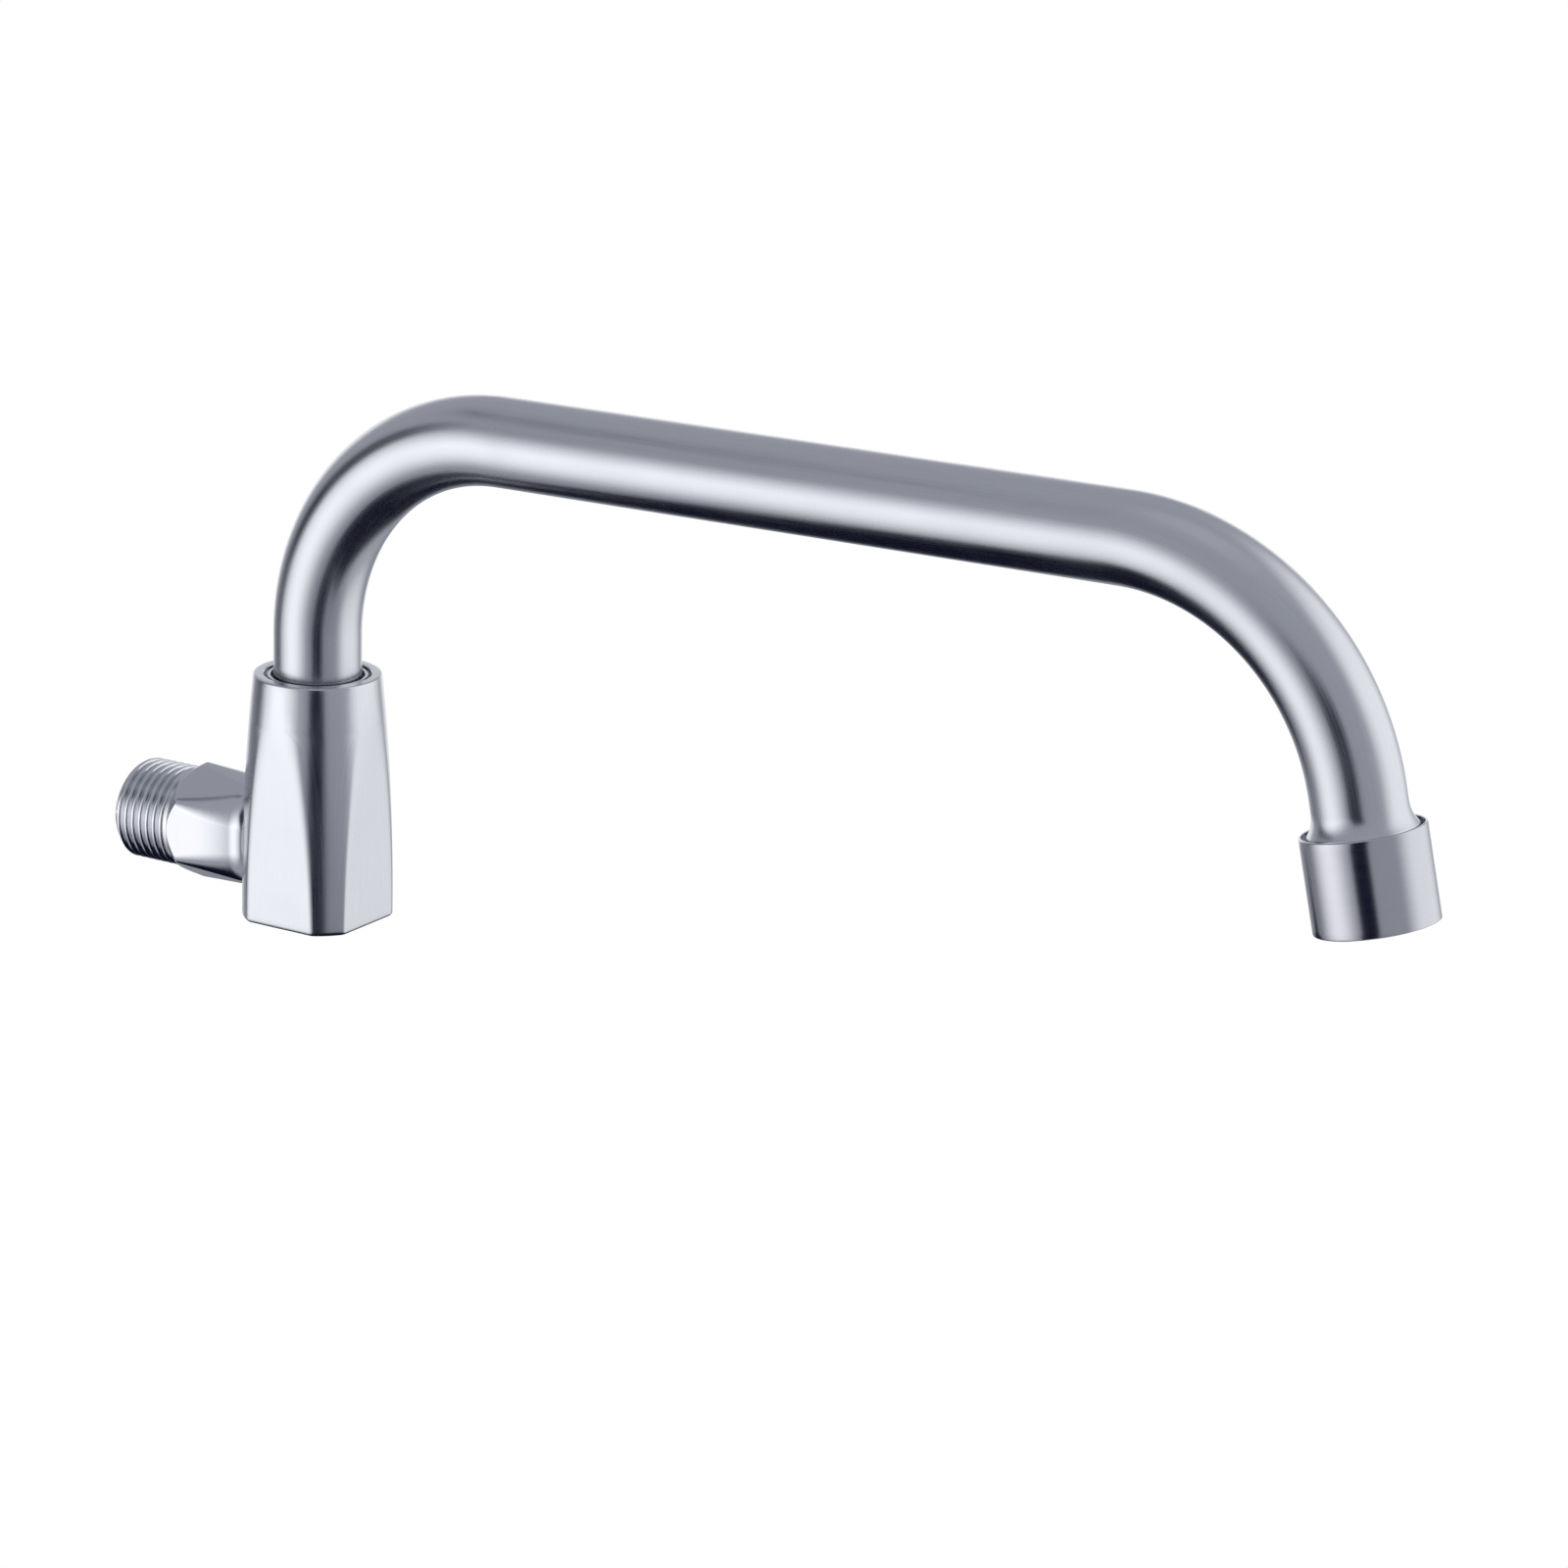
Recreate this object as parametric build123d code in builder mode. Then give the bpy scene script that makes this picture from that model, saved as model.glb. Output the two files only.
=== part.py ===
from build123d import *
import os
from math import asin, cos, degrees, radians, sin, sqrt, tan

# Wall-mounted single cold water tap: an elbow body that screws into the wall by a male
# G1/2 inlet and carries a swivelling tube spout with an aerator at its outlet.
# Lengths are millimetres and angles degrees. The origin lies on the inlet's axis, in the
# middle of the plain land behind the thread. X points away from the wall, Z up.

# Inlet thread, G1/2 male
thread_radius = 10.4775
thread_pitch = 1.814
thread_depth = 1.162
thread_crest_half_angle = 30.0
thread_flank_steps = 4
thread_run = 13.55
thread_lead_radius = 9.0
thread_lead_length = 1.7
land_length = 1.3
inlet_bore_radius = 6.5
inlet_mouth_chamfer = 0.6

# Neck: a cast hexagon that narrows to a waist and widens again into the body
hexagon_across_flats = 22.0
neck_slope = 30.0
hexagon_edge_round = 1.2
hexagon_chamfer_angle = 40.0
hexagon_chamfer_lift = 0.15
waist_start = 15.6
waist_width = 19.2
waist_crown = 12.85
waist_keel = 12.8
waist_edge_round = 4.5
waist_curve = 5.0
waist_steps = 4
neck_root_reach = 7.4
neck_root_turn = 4.0
neck_root_slope = 0.75
neck_root_sink = 0.1
neck_root_crown_swell = 1.0
neck_root_steps = 5

# Body: a turned flare with four flats, which lean outwards from the foot and run out
# below the rim
body_stand_off = 31.35
body_foot_depth = 15.25
foot_radius = 15.4
belly_radius = 14.95
belly_drop = 25.75
rim_wall = 2.15
flats_across = 26.2
flats_lean = 1.05
foot_edge_round = 1.0
rim_edge_round = 0.35
floor_thickness = 4.6

# Gaps: turning fits, seats, screwed fits and brazed sleeves
running_clearance = 0.04
seat_gap = 0.05
thread_clearance = 0.05
brazing_gap = 0.05

# Mouth of the body: gland ring, guide bush and the two slip washers around the flange
gland_wall = 1.3
gland_height = 5.15
gland_recess = 0.3
gland_step_width = 0.6
gland_step_depth = 1.2
bush_wall = 0.5
bush_recess = 0.9
bush_lip_width = 0.6
bush_lip_height = 0.6
slip_washer_thickness = 0.8
slip_washer_clearance = 0.1
mouth_chamfer = 0.2

# Spout tail, the turned spigot that the spout turns on
socket_radius = 8.5
journal_relief = 0.15
flange_clearance = 0.35
flange_thickness = 2.5
tail_foot_clearance = 2.5
tail_foot_chamfer = 0.4
tail_foot_land = 1.0
tail_bore_radius = 5.6
tail_spigot_length = 8.0
groove_land = 2.4
journal_neck = 3.8
seal_depth = 1.75
seal_groove_width = 2.5
seal_height = 2.1
guide_ring_depth = 1.1
guide_ring_width = 4.0
guide_ring_split = 0.8
guide_ring_split_slant = 30.0

# Spout tube
tube_radius = 9.0
tube_wall = 1.0
riser_above_rim = 8.6
riser_bend_radius = 45.8
arm_slope = 0.9
arm_length = 139.4
outlet_bend_radius = 50.6
outlet_lean = 12.7
outlet_straight = 7.2

# Outlet nozzle. Depths along the outlet are counted downwards from the collar's upper rim.
nozzle_growth = 2.0
nozzle_joint_rise = 4.3
flare_rise = 4.0
flare_depth = 0.2
flare_relief = 0.5
nozzle_thread_start = 1.8
nozzle_reach = 6.4
nozzle_waterway_radius = 7.0
nozzle_wall = 1.8
nozzle_cup_start = 1.5

# Aerator housing, the polished collar
collar_rim_gap = 0.9
collar_rim_wall = 0.5
collar_rim_depth = 1.6
collar_edge_round = 0.25
lip_thickness = 1.55
lip_overlap = 0.6

# Aerator insert
washer_thickness = 1.6
washer_inset = 0.6
cage_flange_width = 0.9
cage_flange_thickness = 1.25
cage_wall = 1.0
cage_air_gap = 0.3
cage_ledge_thickness = 0.6
cage_ledge_overlap = 0.6
air_slot_count = 8
air_slot_width = 2.4
air_slot_height = 0.9
screen_thickness = 0.5
screen_dome_height = 2.2
screen_dome_inset = 0.6
screen_hole_radius = 0.4
screen_hole_pitch = 1.5
screen_hole_rings = 4
screen_cut_margin = 1.0
jet_plate_thickness = 1.3
jet_hole_radius = 0.55
jet_ring_radii = (3.2, 6.6)
jet_ring_holes = (6, 12)
mixing_gap = 1.1
grid_gap = 0.4
grid_thickness = 0.8
grid_pitch = 2.4
grid_bar = 0.7
grid_columns = 7
grid_rim = 0.9
lower_grid_turn = 45.0
honeycomb_thickness = 2.5
honeycomb_rings = 4
honeycomb_wall = 0.35
honeycomb_rim = 0.3
honeycomb_cell_turn = 30.0

# Places along the inlet's axis
thread_start = -land_length / 2 - thread_run
neck_start = land_length / 2
neck_length = waist_start - neck_start
hexagon_half = hexagon_across_flats / 2
hexagon_corner = hexagon_across_flats / sqrt(3)
waist_narrowing = hexagon_half - waist_width / 2

# Radii outwards from the tube to the body's rim
tube_bore_radius = tube_radius - tube_wall
sleeve_radius = tube_bore_radius - brazing_gap
bush_bore_radius = tube_radius + running_clearance
bush_radius = bush_bore_radius + bush_wall
bush_lip_radius = bush_radius + bush_lip_width
gland_bore_radius = bush_radius + seat_gap
gland_radius = gland_bore_radius + gland_wall
mouth_radius = gland_radius + seat_gap
flange_radius = mouth_radius - flange_clearance
rim_radius = mouth_radius + rim_wall
journal_radius = socket_radius - journal_relief
sealing_radius = socket_radius - running_clearance
seal_floor_radius = socket_radius - seal_depth
guide_floor_radius = socket_radius - guide_ring_depth

# Heights on the body's axis, from the tail's foot above the inlet bore up to the rim
tail_foot = inlet_bore_radius + tail_foot_clearance
guide_ring_foot = tail_foot + tail_foot_land
guide_ring_top = guide_ring_foot + guide_ring_width
lower_seal_height = guide_ring_top + groove_land + seal_groove_width / 2
upper_seal_height = lower_seal_height + seal_groove_width + groove_land
flange_foot = upper_seal_height + seal_groove_width / 2 + journal_neck
flange_top = flange_foot + flange_thickness
thrust_washer_top = flange_foot - seat_gap
thrust_washer_foot = thrust_washer_top - slip_washer_thickness
mouth_floor = thrust_washer_foot - seat_gap
slip_washer_foot = flange_top + seat_gap
slip_washer_top = slip_washer_foot + slip_washer_thickness
gland_foot = slip_washer_top + seat_gap
gland_top = gland_foot + gland_height
bush_top = gland_top - bush_recess
rim_height = gland_top + gland_recess
body_foot = -body_foot_depth
body_height = rim_height - body_foot
socket_floor = body_foot + floor_thickness

# Radii in the outlet, from the nozzle to the collar and to the insert
nozzle_thread_radius = tube_radius + nozzle_growth
nozzle_cup_radius = nozzle_thread_radius - nozzle_wall
flare_radius = nozzle_thread_radius - flare_relief
collar_rim_bore_radius = flare_radius + collar_rim_gap
collar_radius = collar_rim_bore_radius + collar_rim_wall
collar_thread_radius = nozzle_thread_radius + thread_clearance
cage_flange_radius = collar_thread_radius - seat_gap
cage_barrel_radius = cage_flange_radius - cage_flange_width
cage_bore_radius = cage_barrel_radius - cage_wall
collar_bore_radius = cage_barrel_radius + cage_air_gap
collar_lip_radius = cage_barrel_radius - lip_overlap
insert_radius = cage_bore_radius - seat_gap
washer_bore_radius = nozzle_cup_radius - washer_inset
screen_dome_radius = washer_bore_radius - screen_dome_inset

# Depths in the outlet, downwards from the collar's upper rim
washer_top = nozzle_reach + seat_gap
cage_top = washer_top + washer_thickness + seat_gap
cage_flange_foot = cage_top + cage_flange_thickness
collar_shoulder = cage_flange_foot + seat_gap
screen_foot = cage_top + screen_thickness
jet_plate_top = screen_foot + seat_gap
jet_plate_foot = jet_plate_top + jet_plate_thickness
upper_grid_top = jet_plate_foot + mixing_gap
lower_grid_top = upper_grid_top + grid_thickness + grid_gap
honeycomb_top = lower_grid_top + grid_thickness + grid_gap
cage_ledge_top = honeycomb_top + honeycomb_thickness + seat_gap
cage_foot = cage_ledge_top + cage_ledge_thickness
lip_top = cage_foot + seat_gap
collar_length = lip_top + lip_thickness

# On a turning plane, x is a radius and y a height, or a depth in the outlet
turning_plane = Plane(origin=(body_stand_off, 0, 0), x_dir=(1, 0, 0), z_dir=(0, -1, 0))
body_axis = Axis((body_stand_off, 0, 0), (0, 0, 1))


def band(inner, outer, low, high, mode=Mode.ADD):
    """Rectangle of a turned profile, between two radii and two heights."""
    with Locations(((inner + outer) / 2, (low + high) / 2)):
        Rectangle(outer - inner, high - low, mode=mode)


def on_circle(radius, angle):
    """Point at a radius and an angle in degrees."""
    return (radius * cos(radians(angle)), radius * sin(radians(angle)))


def neck_outline(half_width, crown, keel):
    """Six corners of a neck section: upright sides, and slopes to the crown and the keel."""
    slope_drop = half_width * tan(radians(neck_slope))
    return [
        (half_width, crown - slope_drop),
        (0, crown),
        (-half_width, crown - slope_drop),
        (-half_width, slope_drop - keel),
        (0, -keel),
        (half_width, slope_drop - keel),
    ]


def root_half_width(walk):
    """Half width of the neck's root: its slope turns from the neck's own to the root's, then
    stays, until the root sinks below the body's flats."""
    slope = -waist_narrowing * waist_curve / neck_length
    turned = min(walk, neck_root_turn)
    bend = (neck_root_slope - slope) * turned**2 / (2 * neck_root_turn)
    grown = waist_width / 2 + slope * turned + bend + neck_root_slope * (walk - turned)
    return min(grown, flats_across / 2 - neck_root_sink)


def across_outlet(depth, turn=0):
    """Plane across the outlet at a depth below the collar's rim, facing down the outlet."""
    return Plane(
        origin=outlet_point + outlet_direction * depth,
        x_dir=outlet_radial * cos(radians(turn)) + Vector(0, sin(radians(turn)), 0),
        z_dir=outlet_direction,
    )


# Spout centre line: riser, bend, arm, bend and a short drop to the nozzle
with BuildLine(Plane.XZ) as spout_line:
    riser = Line((body_stand_off, flange_top), (body_stand_off, rim_height + riser_above_rim))
    riser_bend = JernArc(riser @ 1, riser % 1, riser_bend_radius, arm_slope - 90)
    arm = PolarLine(riser_bend @ 1, arm_length, arm_slope)
    outlet_bend = JernArc(arm @ 1, arm % 1, outlet_bend_radius, outlet_lean - 90 - arm_slope)
    drop = PolarLine(outlet_bend @ 1, outlet_straight - nozzle_joint_rise, outlet_lean - 90)

outlet_direction = Vector(sin(radians(outlet_lean)), 0, -cos(radians(outlet_lean)))
outlet_radial = Vector(cos(radians(outlet_lean)), 0, sin(radians(outlet_lean)))
outlet_point = (spout_line.line @ 1) + outlet_direction * nozzle_joint_rise
outlet_plane = Plane(origin=outlet_point, x_dir=outlet_radial, z_dir=(0, 1, 0))
outlet_axis = Axis(outlet_point, outlet_direction)

# Cross-section of the thread: crest, root and two flanks whose radius changes evenly with
# the angle. Twisted by one turn per pitch along the axis, it makes the helix.
flank_angle = (180 - 2 * thread_crest_half_angle) / thread_flank_steps
root_radius = thread_radius - thread_depth
with BuildSketch(Plane.YZ.offset(thread_start)) as thread_section:
    with BuildLine():
        for radius, middle in ((thread_radius, 0), (root_radius, 180)):
            ThreePointArc(
                on_circle(radius, middle - thread_crest_half_angle),
                on_circle(radius, middle),
                on_circle(radius, middle + thread_crest_half_angle),
            )
        for side in (1, -1):
            for step in range(thread_flank_steps):
                flank_points = []
                for place in (step, step + 0.5, step + 1):
                    radius = thread_radius - thread_depth * place / thread_flank_steps
                    angle = thread_crest_half_angle + place * flank_angle
                    flank_points.append(on_circle(radius, side * angle))
                ThreePointArc(*flank_points)
    make_face()
thread_helix = Solid.extrude_linear_with_rotation(
    thread_section.sketch.face(),
    (thread_start, 0, 0),
    (thread_run, 0, 0),
    360 * thread_run / thread_pitch,
)

# Lead chamfer of the thread: the helix is kept only inside this turned blank
with BuildPart() as thread_blank:
    with BuildSketch(Plane.XZ):
        with BuildLine():
            Polyline(
                (thread_start, 0),
                (thread_start, thread_lead_radius),
                (thread_start + thread_lead_length, thread_radius + thread_depth),
                (thread_start + thread_run, thread_radius + thread_depth),
                (thread_start + thread_run, 0),
                close=True,
            )
        make_face()
    revolve(axis=Axis.X)
threaded_end = thread_helix & thread_blank.part

# Neck between the thread and the body
with BuildPart() as neck:
    for step in range(waist_steps):
        share = step / waist_steps
        with BuildSketch(Plane.YZ.offset(neck_start + share * neck_length)):
            Polygon(
                *neck_outline(
                    hexagon_half - waist_narrowing * share**waist_curve,
                    hexagon_corner + (waist_crown - hexagon_corner) * share,
                    hexagon_corner + (waist_keel - hexagon_corner) * share,
                ),
                align=None,
            )
            fillet(vertices(), hexagon_edge_round + (waist_edge_round - hexagon_edge_round) * share)
    for step in range(neck_root_steps):
        share = step / (neck_root_steps - 1)
        swell = neck_root_crown_swell * share**2
        with BuildSketch(Plane.YZ.offset(waist_start + share * neck_root_reach)):
            Polygon(
                *neck_outline(
                    root_half_width(share * neck_root_reach),
                    waist_crown + swell,
                    waist_keel + swell,
                ),
                align=None,
            )
            fillet(vertices(), waist_edge_round)
    loft(ruled=True)
    # Chamfered start of the hexagon
    chamfer_foot = hexagon_half + hexagon_chamfer_lift
    chamfer_top = 2 * hexagon_corner
    chamfer_run = (chamfer_top - chamfer_foot) / tan(radians(hexagon_chamfer_angle))
    with BuildSketch(Plane.XZ):
        with BuildLine():
            Polyline(
                (neck_start, 0),
                (neck_start, chamfer_foot),
                (neck_start + chamfer_run, chamfer_top),
                (body_stand_off, chamfer_top),
                (body_stand_off, 0),
                close=True,
            )
        make_face()
    revolve(axis=Axis.X, mode=Mode.INTERSECT)

# Body casting: flare, flats, neck, land and thread, then the waterway and the socket
with BuildPart() as body:
    with BuildSketch(turning_plane):
        with BuildLine():
            Polyline((rim_radius, rim_height), (0, rim_height), (0, body_foot), (foot_radius, body_foot))
            ThreePointArc(
                (foot_radius, body_foot),
                (belly_radius, rim_height - belly_drop),
                (rim_radius, rim_height),
            )
        make_face()
    revolve(axis=body_axis)
    with BuildSketch(Plane.XY.offset(body_foot)):
        with Locations((body_stand_off, 0)):
            Rectangle(flats_across, flats_across)
    extrude(amount=body_height, taper=-flats_lean, mode=Mode.INTERSECT)
    fillet(body.edges().group_by(Axis.Z)[0], foot_edge_round)
    fillet(body.edges().group_by(Axis.Z)[-1], rim_edge_round)
    add(neck.part)
    with BuildSketch(Plane.YZ.offset(-land_length / 2)):
        Circle(thread_radius)
    extrude(amount=land_length)
    add(threaded_end)
    with BuildSketch(Plane.XZ):
        with BuildLine():
            Polyline(
                (thread_start, 0),
                (thread_start, inlet_bore_radius + inlet_mouth_chamfer),
                (thread_start + inlet_mouth_chamfer, inlet_bore_radius),
                (body_stand_off, inlet_bore_radius),
                (body_stand_off, 0),
                close=True,
            )
        make_face()
    revolve(axis=Axis.X, mode=Mode.SUBTRACT)
    with BuildSketch(turning_plane):
        band(0, socket_radius, socket_floor, rim_height)
        band(0, mouth_radius, mouth_floor, rim_height)
        with BuildLine():
            Polyline(
                (mouth_radius, rim_height - mouth_chamfer),
                (mouth_radius + mouth_chamfer, rim_height),
                (mouth_radius, rim_height),
                close=True,
            )
        make_face()
    revolve(axis=body_axis, mode=Mode.SUBTRACT)

# Gland ring screwed into the mouth, which keeps the spout from lifting out. Its outer edge
# is stepped, so that a groove runs round inside the rim.
with BuildPart() as gland_ring:
    with BuildSketch(turning_plane):
        with BuildLine():
            Polyline(
                (gland_bore_radius, gland_foot),
                (gland_radius, gland_foot),
                (gland_radius, gland_top - gland_step_depth),
                (gland_radius - gland_step_width, gland_top - gland_step_depth),
                (gland_radius - gland_step_width, gland_top),
                (gland_bore_radius, gland_top),
                close=True,
            )
        make_face()
        band(
            gland_bore_radius,
            bush_lip_radius + seat_gap,
            gland_foot,
            gland_foot + bush_lip_height + seat_gap,
            mode=Mode.SUBTRACT,
        )
    revolve(axis=body_axis)

# Guide bush inside the gland ring, held by its lip
with BuildPart() as guide_bush:
    with BuildSketch(turning_plane):
        band(bush_bore_radius, bush_radius, gland_foot, bush_top)
        band(bush_bore_radius, bush_lip_radius, gland_foot, gland_foot + bush_lip_height)
    revolve(axis=body_axis)

# Slip washers above and below the tail's flange
with BuildPart() as upper_slip_washer:
    with BuildSketch(turning_plane):
        band(tube_radius + slip_washer_clearance, flange_radius, slip_washer_foot, slip_washer_top)
    revolve(axis=body_axis)

with BuildPart() as lower_slip_washer:
    with BuildSketch(turning_plane):
        band(
            socket_radius + slip_washer_clearance,
            flange_radius,
            thrust_washer_foot,
            thrust_washer_top,
        )
    revolve(axis=body_axis)

# Spout tail: sleeve brazed into the tube, flange, and journal with its grooves
with BuildPart() as spout_tail:
    with BuildSketch(turning_plane):
        band(tail_bore_radius, sleeve_radius, flange_top, flange_top + tail_spigot_length)
        band(tail_bore_radius, flange_radius, flange_foot, flange_top)
        band(tail_bore_radius, journal_radius, tail_foot, flange_foot)
        for height in (lower_seal_height, upper_seal_height):
            band(
                seal_floor_radius,
                journal_radius,
                height - seal_groove_width / 2,
                height + seal_groove_width / 2,
                mode=Mode.SUBTRACT,
            )
        band(
            guide_floor_radius,
            journal_radius,
            guide_ring_foot,
            guide_ring_top,
            mode=Mode.SUBTRACT,
        )
    revolve(axis=body_axis)
    chamfer(spout_tail.edges().group_by(Axis.Z)[0], tail_foot_chamfer)

# O-rings, in the oval section that they have when squeezed into the socket
seal_rings = {}
for ring_name, height in (("lower_o_ring", lower_seal_height), ("upper_o_ring", upper_seal_height)):
    ring_inner = seal_floor_radius + running_clearance
    with BuildPart() as seal_ring:
        with BuildSketch(turning_plane):
            with Locations(((ring_inner + sealing_radius) / 2, height)):
                Ellipse((sealing_radius - ring_inner) / 2, seal_height / 2)
        revolve(axis=body_axis)
    seal_rings[ring_name] = seal_ring

# Guide ring at the tail's foot, split so that it can be sprung into its groove
with BuildPart() as guide_ring:
    with BuildSketch(turning_plane):
        band(
            guide_floor_radius + running_clearance,
            sealing_radius,
            guide_ring_foot + seat_gap,
            guide_ring_top - seat_gap,
        )
    revolve(axis=body_axis)
    with BuildSketch(Plane.YZ.offset(body_stand_off)):
        with Locations((0, (guide_ring_foot + guide_ring_top) / 2)):
            Rectangle(guide_ring_split, 2 * guide_ring_width, rotation=guide_ring_split_slant)
    extrude(amount=socket_radius, mode=Mode.SUBTRACT)

# Spout tube
with BuildPart() as spout_tube:
    with BuildSketch(Plane.XY.offset(flange_top)):
        with Locations((body_stand_off, 0)):
            Circle(tube_radius)
            Circle(tube_bore_radius, mode=Mode.SUBTRACT)
    sweep(path=spout_line.line)

# Outlet nozzle: sleeve brazed into the tube, trumpet flare and the collar's thread
sleeve_top = seat_gap - outlet_straight
with BuildPart() as outlet_nozzle:
    with BuildSketch(outlet_plane):
        with BuildLine():
            Polyline(
                (tube_radius, -flare_rise),
                (tube_radius, -nozzle_joint_rise),
                (sleeve_radius, -nozzle_joint_rise),
                (sleeve_radius, sleeve_top),
                (nozzle_waterway_radius, sleeve_top),
                (nozzle_waterway_radius, nozzle_cup_start + nozzle_waterway_radius - nozzle_cup_radius),
                (nozzle_cup_radius, nozzle_cup_start),
                (nozzle_cup_radius, nozzle_reach),
                (nozzle_thread_radius, nozzle_reach),
                (nozzle_thread_radius, nozzle_thread_start),
                (flare_radius, nozzle_thread_start),
                (flare_radius, flare_depth),
            )
            TangentArc((tube_radius, -flare_rise), (flare_radius, flare_depth), tangent=(0, 1))
        make_face()
    revolve(axis=outlet_axis)

# Aerator housing: thin rim, screwed band, seat for the insert and a lip at its foot
with BuildPart() as aerator_housing:
    with BuildSketch(outlet_plane) as housing_profile:
        band(collar_rim_bore_radius, collar_radius, 0, collar_rim_depth)
        band(collar_thread_radius, collar_radius, collar_rim_depth, collar_shoulder)
        band(collar_bore_radius, collar_radius, collar_shoulder, lip_top)
        band(collar_lip_radius, collar_radius, lip_top, collar_length)
        fillet(housing_profile.vertices().group_by(Axis.X)[-1], collar_edge_round)
    revolve(axis=outlet_axis)

# Rubber washer between the nozzle and the insert
with BuildPart() as aerator_washer:
    with BuildSketch(outlet_plane):
        band(washer_bore_radius, cage_flange_radius, washer_top, washer_top + washer_thickness)
    revolve(axis=outlet_axis)

# Cage of the insert, with its air slots below the jet plate
with BuildPart() as aerator_cage:
    with BuildSketch(outlet_plane):
        band(cage_bore_radius, cage_flange_radius, cage_top, cage_flange_foot)
        band(cage_bore_radius, cage_barrel_radius, cage_top, cage_foot)
        band(cage_bore_radius - cage_ledge_overlap, cage_bore_radius, cage_ledge_top, cage_foot)
    revolve(axis=outlet_axis)
    with BuildSketch(across_outlet(jet_plate_foot)):
        with PolarLocations((cage_bore_radius + cage_barrel_radius) / 2, air_slot_count):
            Rectangle(2 * cage_wall, air_slot_width)
    extrude(amount=air_slot_height, mode=Mode.SUBTRACT)

# Domed inlet screen
dome_curve = (screen_dome_radius**2 + screen_dome_height**2) / (2 * screen_dome_height)
dome_centre_depth = cage_top - screen_dome_height + dome_curve
dome_angle = degrees(asin(screen_dome_radius / dome_curve))
with BuildPart() as aerator_screen:
    with BuildSketch(outlet_plane):
        with BuildLine():
            dome_faces = []
            for centre_depth in (dome_centre_depth, dome_centre_depth + screen_thickness):
                dome_points = []
                for angle in (0, dome_angle / 2, dome_angle):
                    across, along = on_circle(dome_curve, angle - 90)
                    dome_points.append((across, centre_depth + along))
                dome_faces.append(ThreePointArc(*dome_points))
            Line(dome_faces[0] @ 0, dome_faces[1] @ 0)
            Line(dome_faces[0] @ 1, dome_faces[1] @ 1)
        make_face()
        band(screen_dome_radius, insert_radius, cage_top, screen_foot)
    revolve(axis=outlet_axis)
    with BuildSketch(across_outlet(cage_top - screen_dome_height - screen_cut_margin)):
        Circle(screen_hole_radius)
        for ring in range(1, screen_hole_rings + 1):
            with PolarLocations(ring * screen_hole_pitch, 6 * ring):
                Circle(screen_hole_radius)
    cut_depth = screen_dome_height + screen_thickness + 2 * screen_cut_margin
    extrude(amount=cut_depth, mode=Mode.SUBTRACT)

# Jet plate
with BuildPart() as aerator_jet_plate:
    with BuildSketch(across_outlet(jet_plate_top)):
        Circle(insert_radius)
        for ring_radius, hole_count in zip(jet_ring_radii, jet_ring_holes):
            with PolarLocations(ring_radius, hole_count):
                Circle(jet_hole_radius, mode=Mode.SUBTRACT)
    extrude(amount=jet_plate_thickness)

# Two mixing grids, the lower one turned so that its bars cross the upper one's openings
mixing_grids = {}
for grid_name, depth, turn in (
    ("aerator_upper_grid", upper_grid_top, 0),
    ("aerator_lower_grid", lower_grid_top, lower_grid_turn),
):
    grid_plane = across_outlet(depth, turn)
    with BuildSketch(grid_plane) as grid_openings:
        with GridLocations(grid_pitch, grid_pitch, grid_columns, grid_columns):
            Rectangle(grid_pitch - grid_bar, grid_pitch - grid_bar)
        Circle(insert_radius - grid_rim, mode=Mode.INTERSECT)
    with BuildPart() as mixing_grid:
        with BuildSketch(grid_plane):
            Circle(insert_radius)
        extrude(amount=grid_thickness)
        extrude(grid_openings.sketch, amount=grid_thickness, mode=Mode.SUBTRACT)
    mixing_grids[grid_name] = mixing_grid

# Honeycomb that straightens the jet at the outlet
honeycomb_pitch = (insert_radius - honeycomb_rim) / (honeycomb_rings + 0.5)
cell_places = []
for row in range(-honeycomb_rings, honeycomb_rings + 1):
    cells_in_row = 2 * honeycomb_rings + 1 - abs(row)
    for column in range(cells_in_row):
        across = (column - (cells_in_row - 1) / 2) * honeycomb_pitch
        cell_places.append((across, row * honeycomb_pitch * sin(radians(60))))
with BuildPart() as aerator_honeycomb:
    with BuildSketch(across_outlet(honeycomb_top)):
        Circle(insert_radius)
        with Locations(*cell_places):
            cell_apothem = (honeycomb_pitch - honeycomb_wall) / 2
            RegularPolygon(
                cell_apothem,
                6,
                major_radius=False,
                rotation=honeycomb_cell_turn,
                mode=Mode.SUBTRACT,
            )
    extrude(amount=honeycomb_thickness)

# Write each piece
pieces = {
    "body": body,
    "gland_ring": gland_ring,
    "guide_bush": guide_bush,
    "upper_slip_washer": upper_slip_washer,
    "lower_slip_washer": lower_slip_washer,
    "spout_tail": spout_tail,
    "guide_ring": guide_ring,
    "spout_tube": spout_tube,
    "outlet_nozzle": outlet_nozzle,
    "aerator_housing": aerator_housing,
    "aerator_washer": aerator_washer,
    "aerator_cage": aerator_cage,
    "aerator_screen": aerator_screen,
    "aerator_jet_plate": aerator_jet_plate,
    "aerator_honeycomb": aerator_honeycomb,
    **seal_rings,
    **mixing_grids,
}
os.makedirs("parts", exist_ok=True)
for piece_name, piece in pieces.items():
    piece.part.label = piece_name
    export_step(piece.part, f"parts/{piece_name}.step")
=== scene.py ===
import logging
import math
from collections.abc import Callable
from dataclasses import dataclass, field
from enum import Enum

import bmesh
import bpy
import numpy as np
from bpy.types import ID, Light, Material, Node, NodeSocket, NodeTree, Object, World
from mathutils import Matrix, Vector


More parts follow.
